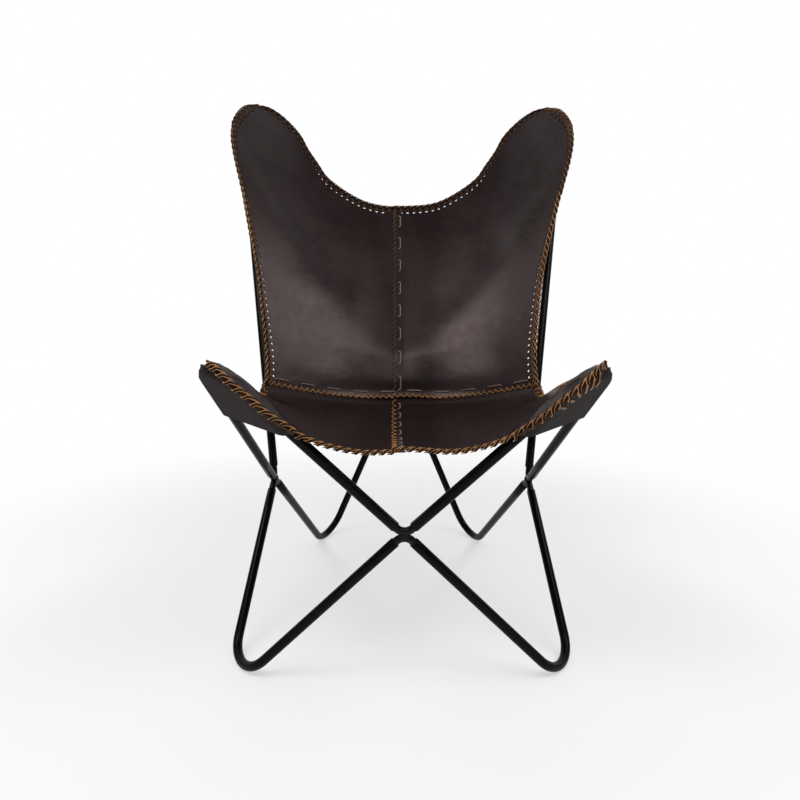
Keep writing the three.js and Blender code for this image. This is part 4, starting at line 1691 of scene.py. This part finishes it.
@dataclass
class Sling:
    """The leather sling: four lapped panels with punched edges, and four corner pockets."""

    form: SlingForm
    edges: SlingEdges
    finishes: Finishes
    spacing: float = 7.5
    hole_pitch: float = 13.2
    hole_inset: float = 14.0
    hole_radius: float = 2.7
    hole_sides: int = 10
    hole_margin: float = 22.4
    hole_ends: Pair = (-0.09, -0.02)
    hole_rows: Pair = (-0.002, 0.014)
    strap_start: float = 8.0
    strap_band: float = 24.0
    mouth_slant: float = 0.12
    gutter_steps: int = 10
    bend_rows: int = 8
    mouth_rows: int = 7
    least_width: float = 0.86
    calm: Pair = (24.0, 60.0)
    buckles: Pair = (2.4, 0.9)
    drag_waves: tuple[float, float, float, float] = (0.012, 0.004, 0.0045, 0.003)
    fold_waves: Pair = (0.006, 0.012)
    slices: Pair = (3.1, 7.7)

    def build(self) -> None:
        """Makes the panels and the pockets."""
        for panel in Panel:
            self.panel(panel)
        for side in Side:
            self.pocket(self.form.front_corner, side)
            self.pocket(self.form.back_corner, side)

    @property
    def wrap(self) -> float:
        """Distance from a tube's centre line to the middle layer of a pocket round it."""
        return self.form.frame.radius + self.form.layer_gap * 4 + self.form.leather / 2

    def patch(self, panel: Panel, rows: int = 300, columns: int = 128) -> tuple[Array, Array]:
        """Lists the surface places of a panel.

        Args:
            panel: The panel.
            rows: Number of rows.
            columns: Number of columns.

        Returns:
            Places across and along, as grids.
        """
        form = self.form
        low, high = (form.seam_v - form.lap_v, 1.0) if panel.is_back else (0.0, form.seam_v)
        v = np.linspace(low, high, rows)[:, None]
        lap = form.lap_u(v)
        share = np.linspace(0, 1, columns)[None, :]
        inner, outer = (-lap, 1.0) if panel.side is Side.RIGHT else (-1.0, 0.0 * lap)
        u = inner + (outer - inner) * share
        return np.broadcast_arrays(u, v)

    def holes(self, panel: Panel) -> list[Array]:
        """Rings the punched holes of a panel.

        Args:
            panel: The panel.

        Returns:
            One ring of points per hole.
        """
        form = self.form
        seam = form.seam_v - form.lap_v
        right = panel.side is Side.RIGHT
        runs = [self.edges.right if right else self.edges.left]
        if panel.is_back:
            runs.append(self.edges.top)
        turns = np.linspace(0, 2 * math.pi, self.hole_sides, endpoint=False)
        rounds = [(self.hole_radius * math.cos(t), self.hole_radius * math.sin(t)) for t in turns]
        rings = []
        for run in runs:
            for s in run.stations(self.hole_pitch):
                u, v = run.mark(s)
                own = u > self.hole_ends[1] if right else u < self.hole_ends[0]
                below, above = (seam + gap for gap in self.hole_rows)
                own = own and (v > above if panel.is_back else v < below)
                if own and min(s, run.length - s) >= self.hole_margin:
                    ring = [run.place(s + a, self.hole_inset + b, 0.0) for a, b in rounds]
                    rings.append(np.array(ring))
        return rings

    def pocket_run(self, corner: TopCorner, side: Side, far: float) -> EdgeRun:
        """Measures the outer face of a pocket along its hem on the middle arm.

        Args:
            corner: The pocket's corner.
            side: The hand of the chair.
            far: Distance from the tip at which the run ends.

        Returns:
            The run.
        """
        radius = corner.edge_radius - corner.hem_inset - np.linspace(0, self.strap_band, 30)
        bands = []
        for s in np.linspace(self.strap_start, far, 120):
            p, q = corner.beside(s, radius)
            bands.append(corner.place(*corner.let_out(p, q), self.pocket_level(corner, p, q)))
        grid = np.array(bands)
        up = np.repeat(-corner.normal[None], len(grid), 0)
        if side is Side.LEFT:
            grid, up = mirrored(grid), mirrored(up)
        return EdgeRun(grid, up, np.zeros((len(grid), 2)))

    def relief(self, points: Array, normals: Array) -> Array:
        """Adds the soft buckles of hanging leather.

        Args:
            points: Points of the middle layer.
            normals: Their directions.

        Returns:
            The moved points.
        """
        edges = self.edges
        laps = (edges.cross, edges.centre_back, edges.centre_seat)
        tree = search_tree(np.vstack([run.points for run in (*edges.outer().values(), *laps)]))
        start, fade = self.calm
        wide, lean, tall, slip = self.drag_waves
        fold_wide, fold_tall = self.fold_waves
        moved = points.copy()
        for k, point in enumerate(points):
            calm = float(ramp((tree.find(point)[2] - start) / fade))
            if calm <= 0:
                continue
            x, y, z = point
            drag = Vector((x * wide + z * lean, z * tall - x * slip, self.slices[0]))
            fold = Vector((x * fold_wide, z * fold_tall + y * fold_tall, self.slices[1]))
            swell = noise.noise(drag) * self.buckles[0] + noise.noise(fold) * self.buckles[1]
            moved[k] = point + normals[k] * calm * swell
        return moved

    def panel(self, panel: Panel) -> None:
        """Cuts and dresses one panel.

        Args:
            panel: The panel.
        """
        u, v = self.patch(panel)
        grid = self.form.on_panel(panel, u, v)
        normals = self.form.normal(u, v)
        cutter = SheetCutter(grid, normals, self.spacing)
        middle, directions, faces = cutter.cut(self.holes(panel))
        middle = self.relief(middle, directions)
        draft = MeshDraft()
        draft.sheet(middle, directions, faces, self.form.leather)
        materials = [self.finishes.saddle, self.finishes.flesh, self.finishes.cut]
        piece = draft.to_object(f"{panel.value}_hide", materials)
        settle(piece, [panel.value])
        tube = "top_tube_back" if panel.is_back else "top_tube_front"
        self.declare(piece, grid, middle, faces, [f"{tube}_{panel.side.word}_round"])

    @staticmethod
    def declare(
        piece: bpy.types.Object,
        grid: Array,
        middle: Array,
        faces: Sequence[Face],
        rests_on: Sequence[str],
    ) -> None:
        """Walks a leather sheet's faces and the list of what it hangs from, and keeps nothing.

        Args:
            piece: The finished sheet; not used.
            grid: Rows of points of its surface; not used.
            middle: Points of its middle layer; not used.
            faces: Faces of its middle layer.
            rests_on: What it hangs from.
        """
        for face in faces:
            for b, c in zip(face[1:-1], face[2:]):
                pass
        list(rests_on)

    def pocket_level(self, corner: TopCorner, p: Array, q: Array) -> Array:
        """Gives the height of a pocket's outer sheet over the bend's plane.

        Args:
            corner: The pocket's corner.
            p: Distances inwards along the bisector.
            q: Distances across.

        Returns:
            One height per place.
        """
        wrap, inset = self.wrap, corner.inset(p, q)
        s = np.hypot(p - corner.tip_p, q)
        rise = ramp(s / corner.depth)
        lift = read(corner.lifts, s * np.where(q < 0, -1.0, 1.0))
        hem = corner.drape + lift - self.form.layer - corner.hem_slack * rise
        outside = np.maximum(corner.reach - inset, 0.0)
        round_tube = -np.sqrt(np.maximum(0.0, wrap**2 - outside**2))
        round_tube = np.where(outside < wrap, round_tube, 1e3)
        fall = np.clip((inset - corner.hem_inset) / (corner.reach - corner.hem_inset), 0.0, 1.0)
        return np.minimum(blend(hem, -wrap, fall), round_tube)

    def pocket_rows(self, corner: TopCorner, gutter: Sequence[float]) -> list[float]:
        """Spaces the rows of a pocket from its tip to its mouth.

        Args:
            corner: The pocket's corner.
            gutter: Insets of the rows round the tube.

        Returns:
            Distances from the tip.
        """
        rows = [corner.hem_inset + 1, *gutter, corner.reach + corner.frame.tube_od]
        run_in = math.acos(1 - (rows[-1] - corner.reach) / corner.bend)
        for t in np.linspace(0, 1, self.bend_rows + 1)[1:]:
            turn = run_in + (math.pi / 2 - corner.half - run_in) * t
            rows.append(corner.bend_p - corner.tip_p - corner.bend * math.cos(turn))
        rows.extend(np.linspace(rows[-1], corner.depth, self.mouth_rows + 1)[1:])
        return rows

    def pocket_grid(self, corner: TopCorner) -> Array:
        """Forms the outer sheet of a right-hand pocket.

        Args:
            corner: The pocket's corner.

        Returns:
            Rows of points of its middle layer.
        """
        quarter = np.linspace(0, math.pi / 2, self.gutter_steps)
        gutter = [corner.reach - self.wrap * math.cos(turn) for turn in quarter]
        past = [corner.reach + corner.frame.tube_od * share for share in (0.6, 1.0)]
        insets = [corner.hem_inset, *gutter, *past]
        slant = self.mouth_slant if corner is self.form.front_corner else 0.0
        lines = []
        for row in self.pocket_rows(corner, gutter):
            p = corner.tip_p + row
            columns: list[float] = []
            for inset in insets:
                least = columns[-1] * self.least_width if columns else 0.0
                columns.append(max(least, corner.half_width(p, inset)))
            columns.extend([columns[-1] * share for share in (0.75, 0.5, 0.25)])
            q = np.array([*[-c for c in columns], 0.0, *columns[::-1]])
            ps = p - q * slant * (row / corner.depth) ** 2
            lines.append(corner.place(*corner.let_out(ps, q), self.pocket_level(corner, ps, q)))
        return np.array(lines)

    def pocket(self, corner: TopCorner, side: Side) -> None:
        """Forms and dresses the outer sheet of one pocket.

        Args:
            corner: The pocket's corner.
            side: The hand of the chair.
        """
        name, finishes = f"{corner.name}_pocket_{side.word}", self.finishes
        grid = self.pocket_grid(corner)
        normals = unit(np.cross(np.gradient(grid, axis=1), np.gradient(grid, axis=0)))
        faces = grid_faces(*grid.shape[:2])
        if side is Side.LEFT:
            grid, normals = mirrored(grid), mirrored(normals)
            faces = [face[::-1] for face in faces]
        middle = grid.reshape(-1, 3)
        draft = MeshDraft()
        slots = (0, 1, 2) if corner is self.form.front_corner else (1, 0, 2)
        draft.sheet(middle, normals.reshape(-1, 3), faces, self.form.leather, slots)
        # The pocket leather on the outer face carries painted sheen in its lighter tone.
        piece = draft.to_object(f"{name}_hide", [finishes.pocket, finishes.flesh, finishes.cut])
        settle(piece, [name])
        self.declare(piece, grid, middle, faces, [f"top_tube_{corner.name}_{side.word}_round"])


@dataclass
class Thong:
    """A flat leather thong with raw edges."""

    width: float
    thickness: float
    bevel: float = 0.24
    raw: tuple[int, ...] = (0, 2, 3, 5)

    def section(self) -> Array:
        """The thong's cross-section: distances across and up."""
        half, rise = self.width / 2, self.thickness / 2
        flat = half - self.width * self.bevel
        face, back = [(-flat, rise), (flat, rise)], [(flat, -rise), (-flat, -rise)]
        return np.array([(-half, 0), *face, (half, 0), *back])

    def lay(
        self, draft: MeshDraft, points: Array, ups: Array, slots: tuple[int, int] = (0, 1)
    ) -> None:
        """Adds a length of thong to a draft.

        Args:
            draft: The draft to add to.
            points: Points of its middle line.
            ups: Directions of its face.
            slots: Material slots of its face and its raw edges.
        """
        tangents = unit(np.gradient(points, axis=0))
        across = unit(np.cross(tangents, ups))
        face = unit(np.cross(across, tangents))
        section = self.section()
        wide, high = section[None, :, :1], section[None, :, 1:]
        rings = points[:, None, :] + wide * across[:, None, :] + high * face[:, None, :]
        start = draft.add(rings, [])
        sides, count = len(section), len(points)
        for i in range(sides):
            k = (i + 1) % sides
            rows = [start + j * sides for j in range(count)]
            strip = [(a + i, b + i, b + k, a + k) for a, b in zip(rows, rows[1:])]
            draft.join(strip, slots[1] if i in self.raw else slots[0], i)
        first, last = (range(at, at + sides) for at in (start, start + (count - 1) * sides))
        draft.join([tuple(first), tuple(last)[::-1]], slots[1], sides)


class Stitch(Enum):
    """The stitches, as places along the pitch, into the sheet and above it.

    RUNNING gives shares of a stitch's length and of its hook in place of the first two.
    """

    INNER = (
        *((0.0, 5.8, 0.9), (0.12, 5.2, 2.0), (0.5, 3.6, 2.5)),
        *((0.95, 1.6, 2.6), (1.3, 0.2, 2.2), (1.5, -0.6, 0.8)),
    )
    OUTER = (
        *((-0.15, 1.2, -2.6), (0.0, -0.8, -2.5), (0.15, -2.2, -1.0), (0.4, -2.3, 1.0)),
        *((0.8, -0.6, 2.8), (1.2, 1.8, 3.3), (1.5, 3.6, 2.2)),
    )
    LEG = ((0.0, 12.4, -0.4), (0.0, 11.6, 1.9), (0.03, 8.0, 2.1), (0.07, 4.8, 2.3), (0.1, 2.6, 2.5))
    LEG_UNDER = (
        *((0.0, 12.4, 0.4), (0.0, 11.6, -2.0), (-0.08, 8.0, -2.2)),
        *((-0.2, 4.0, -2.6), (-0.3, 0.4, -3.0)),
    )
    POCKET_LEG = (
        *((0.0, 21.0, -0.4), (0.0, 20.0, 1.8), (0.03, 13.0, 2.0)),
        *((0.08, 6.0, 2.2), (0.14, -0.5, 2.5), (0.2, -3.0, 1.6)),
    )
    SCALLOP = (
        *((0.0, 5.6, 0.4), (0.03, 4.8, 2.0), (0.16, 1.2, 2.1), (0.34, -1.6, 1.6)),
        (0.5, -2.4, 1.0),
        *((0.66, -1.6, 1.6), (0.84, 1.2, 2.1), (0.97, 4.8, 2.0), (1.0, 5.6, 0.4)),
    )
    TWIST = (
        *((-0.1, 3.6, 0.4), (0.02, 3.0, 1.9), (0.35, 0.9, 2.2)),
        *((0.66, -1.2, 1.0), (0.86, -2.0, -1.0)),
    )
    RUNNING = (
        *((-0.5, -1.0, -0.6), (-0.5, -0.8, 1.7), (-0.49, -0.3, 2.2), (-0.44, 0.0, 2.4)),
        *((-0.2, 0.0, 2.55), (0.0, 0.0, 2.6), (0.2, 0.0, 2.55)),
        *((0.44, 0.0, 2.4), (0.49, -0.3, 2.2), (0.5, -0.8, 1.7), (0.5, -1.0, -0.6)),
    )


@dataclass
class Lacing:
    """The lacing of the edges and laps, and the running stitches beside the laps."""

    form: SlingForm
    edges: SlingEdges
    sling: Sling
    finishes: Finishes
    pitch: float = 13.2
    seam_pitch: float = 11.6
    twist_pitch: Pair = (10.5, 24.0)
    chain_thong: Thong = field(default_factory=lambda: Thong(4.2, 1.3, 0.15))
    side_thong: Thong = field(default_factory=lambda: Thong(4.2, 1.3, 0.26, (0, 5)))
    leg_thong: Thong = field(default_factory=lambda: Thong(3.6, 1.2, 0.18))
    seam_thong: Thong = field(default_factory=lambda: Thong(2.6, 1.3, 0.3))
    fine_thong: Thong = field(default_factory=lambda: Thong(2.0, 1.1, 0.3))
    stitch_thong: Thong = field(default_factory=lambda: Thong(2.5, 1.1, 0.22))
    wing_end: float = 0.36
    bright_end: float = 0.68
    pocket_ends: Pair = (0.14, 0.8)
    pocket_width: float = 0.52
    strap_ends: Pair = (92.0, 180.0)
    side_edge: float = 0.999
    lean: float = 2.0
    full_depth: float = 2.0
    least_up: float = 0.6

    def build(self) -> None:
        """Laces every edge and lap."""
        edges = self.edges
        cross, back, seat = edges.cross, edges.centre_back, edges.centre_seat
        back_pitch, seat_pitch = self.twist_pitch
        for name, run in edges.outer().items():
            self.edge(name, run)
        self.seam("lace_cross_seam", cross, Stitch.SCALLOP, self.seam_pitch, self.seam_thong)
        self.seam("lace_centre_back", back, Stitch.TWIST, back_pitch, self.seam_thong)
        self.seam("lace_centre_seat", seat, Stitch.SCALLOP, seat_pitch, self.fine_thong)
        self.running("running_stitch_cross", cross, inset=12.0, length=27.0, pitch=54.0, hook=2.0)
        self.running("running_stitch_back", back, inset=12.5, length=26.0, pitch=49.0, hook=5.0)
        self.running("running_stitch_seat", seat, inset=12.5, length=26.0, pitch=50.0, hook=5.0)

    def work(
        self,
        draft: MeshDraft,
        run: EdgeRun,
        stitch: Stitch,
        s: float,
        pitch: float,
        thong: Thong,
        flip: bool = False,
        deep: float = 0.0,
        slots: tuple[int, int] = (0, 1),
    ) -> None:
        """Lays one stitch.

        Args:
            draft: The draft to add to.
            run: The edge.
            stitch: The stitch's path.
            s: Distance along the edge.
            pitch: Distance between stitches.
            thong: The thong.
            flip: Whether the stitch lies on the underside.
            deep: How much thicker the edge is below, where a pocket is laced in.
            slots: Material slots of the thong's face and its raw edges.
        """
        marks = Spline(stitch.value).at(np.linspace(0, 1, 3 * len(stitch.value) - 1))
        points, ups = [], []
        for along, inset, height in marks:
            rise = height if height > 0 else height - deep * min(1.0, -height / self.full_depth)
            rise = -rise if flip else rise
            point, inward, normal = run.frame(s + along * pitch, inset)
            points.append(point + normal * rise)
            up = inward * (min(inset, self.lean) - self.lean) + normal * rise
            weak = np.linalg.norm(up) <= self.least_up
            ups.append(normal * (-1.0 if flip else 1.0) if weak else up)
        thong.lay(draft, np.array(points), unit(np.array(ups)), slots)

    def pocketed(self, run: EdgeRun, s: float) -> bool:
        """Tells whether a pocket is laced in at a place of an outer edge.

        Args:
            run: The edge.
            s: Distance along it.

        Returns:
            Whether there is a pocket.
        """
        u, v = run.mark(s)
        ends = v < self.pocket_ends[0] or v > self.pocket_ends[1]
        return ends and abs(u) > self.pocket_width

    def edge(self, name: str, run: EdgeRun) -> None:
        """Braids one outer edge.

        Args:
            name: The lace node that it stands for.
            run: The edge.
        """
        draft = MeshDraft()
        stations = run.stations(self.pitch)
        pitch = run.length / len(stations)
        chain = self.chain_thong if run is self.edges.front else self.side_thong
        for s in stations:
            u, v = run.mark(s)
            pocketed = self.pocketed(run, s)
            wing = abs(u) > self.side_edge and v < self.wing_end
            deep = self.form.layer if pocketed and not wing else 0.0
            # Laces high on the sling take the darker raw edge.
            slots = (0, 1) if v < self.bright_end else (0, 2)
            rest = (wing, deep, slots)
            self.work(draft, run, Stitch.INNER, s, pitch, chain, *rest)
            if not wing:
                self.work(draft, run, Stitch.OUTER, s, pitch, chain, *rest)
            if run is not self.edges.front:
                self.work(draft, run, Stitch.LEG, s, pitch, self.leg_thong, *rest)
            if not pocketed:
                self.work(draft, run, Stitch.LEG_UNDER, s, pitch, self.leg_thong, *rest)
        for hem, slots in self.hems(run):
            for s in hem.stations(self.pitch):
                self.work(draft, hem, Stitch.POCKET_LEG, s, self.pitch, self.leg_thong, slots=slots)
        finishes = self.finishes
        piece = draft.to_object(f"{name}_braid", [finishes.thong, finishes.raw, finishes.worn])
        settle(piece, [name])

    def hems(self, run: EdgeRun) -> list[tuple[EdgeRun, tuple[int, int]]]:
        """Lists the pocket hems whose straps belong to an outer edge.

        Args:
            run: The edge.

        Returns:
            The hems, each with the material slots of its thong.
        """
        form, hem = self.form, self.sling.pocket_run
        front_end, back_end = self.strap_ends
        if run is self.edges.front:
            return [(hem(form.front_corner, Side.RIGHT, front_end), (0, 1))]
        if run is self.edges.top:
            return [(hem(form.back_corner, side, back_end), (0, 2)) for side in Side]
        return []

    def seam(self, name: str, run: EdgeRun, stitch: Stitch, pitch: float, thong: Thong) -> None:
        """Laces the free edge of a lap.

        Args:
            name: The lace node that it stands for.
            run: The edge.
            stitch: The stitch.
            pitch: Distance between stitches.
            thong: The thong.
        """
        draft = MeshDraft()
        stations = run.stations(pitch)
        step = run.length / len(stations)
        for s in stations:
            self.work(draft, run, stitch, s - step / 2, step, thong)
        # The centre back lace takes the darker raw edge.
        raw = self.finishes.worn if run is self.edges.centre_back else self.finishes.raw
        piece = draft.to_object(f"{name}_braid", [self.finishes.thong, raw])
        settle(piece, [name])

    def running(
        self, name: str, run: EdgeRun, inset: float, length: float, pitch: float, hook: float
    ) -> None:
        """Sews a row of long running stitches beside a lap.

        Args:
            name: The piece's name.
            run: The lap's edge.
            inset: Distance from the edge into the sheet.
            length: Length of a stitch.
            pitch: Distance between stitches.
            hook: How far a stitch's ends turn back to the lap's edge.
        """
        draft = MeshDraft()
        for s in run.stations(pitch):
            points, ups = [], []
            for share, sway, height in Stitch.RUNNING.value:
                at = s + share * length
                points.append(run.place(at, inset + sway * hook, height))
                ups.append(run.frame(at, inset)[2])
            self.stitch_thong.lay(draft, np.array(points), np.array(ups))
        piece = draft.to_object(name, [self.finishes.stitch, self.finishes.stitch])
        settle(piece)


@dataclass
class Studio:
    """The camera, the lamps, the floor and the backdrop."""

    lens: float = 31.5
    camera_at: Triple = (-0.0175, -1.18162, 0.568)
    sensor: float = 36.0
    clip: Pair = (0.02, 60.0)
    pitch: float = 10.5
    yaw: float = 0.67
    roll: float = 0.5
    ambient: float = 0.11
    sweep: Pair = (0.15, 0.6)
    floor_half: float = 14.0
    floor_tone: float = 0.94
    floor_fade: Pair = (0.45, 1.25)
    floor_glow: float = 0.55
    centre: Triple = (0.0, 0.2, 0.45)
    throw: float = 2.2
    strip_size: Pair = (1.0, 0.4)
    strips: tuple[tuple[str, float, float, float], ...] = (
        ("right_front", 30.0, 46.5, 7.0),
        ("right", 55.0, 46.0, 9.0),
        ("right_side", 80.0, 44.5, 5.5),
        ("left_front", -30.0, 49.0, 12.0),
        ("left", -54.0, 47.5, 8.5),
        ("left_side", -77.0, 49.0, 1.5),
        ("left_back", -104.0, 44.0, 3.0),
    )

    def build(self) -> None:
        """Sets up the whole studio."""
        scene = bpy.context.scene
        scene.view_settings.view_transform = "Standard"
        self.camera()
        self.world()
        self.floor()
        for name, azimuth, elevation, power in self.strips:
            self.strip(name, math.radians(azimuth), math.radians(elevation), power)

    def camera(self) -> None:
        """Stands the camera where the photographer stood."""
        data = bpy.data.cameras.new("camera")
        data.lens = self.lens
        data.sensor_width = self.sensor
        data.clip_start, data.clip_end = self.clip
        camera = bpy.data.objects.new("camera", data)
        turn = Matrix.Rotation(-math.radians(self.yaw), 4, "Z")
        tilt = Matrix.Rotation(math.radians(90.0 - self.pitch), 4, "X")
        roll = Matrix.Rotation(math.radians(self.roll), 4, "Z")
        camera.matrix_world = Matrix.Translation(self.camera_at) @ turn @ tilt @ roll
        bpy.context.scene.collection.objects.link(camera)
        bpy.context.scene.camera = camera

    def world(self) -> None:
        """Hangs a white backdrop behind the chair in a dim room that the camera sees as white."""
        world = bpy.data.worlds.new("studio")
        sheet = NodeSheet.fresh(world)
        path = sheet.add("ShaderNodeLightPath").outputs
        place = sheet.add("ShaderNodeTexCoord").outputs["Generated"]
        axes = sheet.add("ShaderNodeSeparateXYZ", {0: place})
        sweep = sheet.spread(axes.outputs["Y"], *self.sweep, (self.ambient, 1.0))
        clear = sheet.math("MAXIMUM", path["Is Camera Ray"], path["Is Transmission Ray"])
        seen = sheet.math("MAXIMUM", clear, sweep)
        white = {"Color": (1.0, 1.0, 1.0, 1.0), "Strength": seen}
        backdrop = sheet.add("ShaderNodeBackground", white)
        sheet.add("ShaderNodeOutputWorld", {"Surface": backdrop.outputs[0]})
        bpy.context.scene.world = world

    def floor(self) -> None:
        """Lays a pale floor that takes the chair's shadow."""
        mesh = bpy.data.meshes.new("floor")
        half = self.floor_half
        corners = [(-half, -half, 0), (half, -half, 0), (half, half, 0), (-half, half, 0)]
        mesh.from_pydata(corners, [], [(0, 1, 2, 3)])
        floor = bpy.data.objects.new("floor", mesh)
        material = bpy.data.materials.new("Pale floor")
        sheet = NodeSheet.fresh(material)
        near = sheet.add("ShaderNodeBsdfDiffuse", {"Color": (*[self.floor_tone] * 3, 1.0)})
        far = sheet.add("ShaderNodeEmission", {"Color": (1.0, 1.0, 1.0, 1.0), "Strength": 1.0})
        place = sheet.add("ShaderNodeTexCoord").outputs["Object"]
        distance = sheet.add("ShaderNodeVectorMath", {0: place}, operation="LENGTH")
        low, high = self.floor_fade
        values = {"From Min": low, "From Max": high, "To Min": self.floor_glow}
        values |= {"Value": distance.outputs["Value"]}
        fade = sheet.add("ShaderNodeMapRange", values, interpolation_type="SMOOTHSTEP")
        mix = sheet.add("ShaderNodeMixShader", {"Fac": fade.outputs["Result"]})
        sheet.feed(mix.inputs[1], near.outputs["BSDF"])
        sheet.feed(mix.inputs[2], far.outputs["Emission"])
        sheet.add("ShaderNodeOutputMaterial", {"Surface": mix.outputs["Shader"]})
        mesh.materials.append(material)
        bpy.context.scene.collection.objects.link(floor)

    def strip(self, name: str, azimuth: float, elevation: float, power: float) -> None:
        """Hangs a strip light round the chair.

        Args:
            name: The lamp's name.
            azimuth: Its angle to the right of the camera.
            elevation: Its angle over the floor.
            power: Its power in watts.
        """
        level, height = math.cos(elevation) * self.throw, math.sin(elevation) * self.throw
        out = (math.sin(azimuth) * level, -math.cos(azimuth) * level, height)
        at = Vector([a + b for a, b in zip(self.centre, out)])
        data = bpy.data.lights.new(name, "AREA")
        data.shape = "RECTANGLE"
        data.size, data.size_y = self.strip_size
        data.energy = power
        lamp = bpy.data.objects.new(name, data)
        lamp.location = at
        lamp.rotation_euler = (Vector(self.centre) - at).to_track_quat("-Z", "Y").to_euler()
        bpy.context.scene.collection.objects.link(lamp)


def main() -> None:
    """Builds the chair and its studio."""
    logging.basicConfig(level=logging.INFO, format="%(message)s")
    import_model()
    Studio().build()
    finishes = Finishes(Effects())
    frame = FrameForm()
    form = SlingForm(frame)
    edges = SlingEdges(form)
    TubeFrame(frame, finishes).build()
    sling = Sling(form, edges, finishes)
    sling.build()
    Lacing(form, edges, sling, finishes).build()


if __name__ == "__main__":
    main()
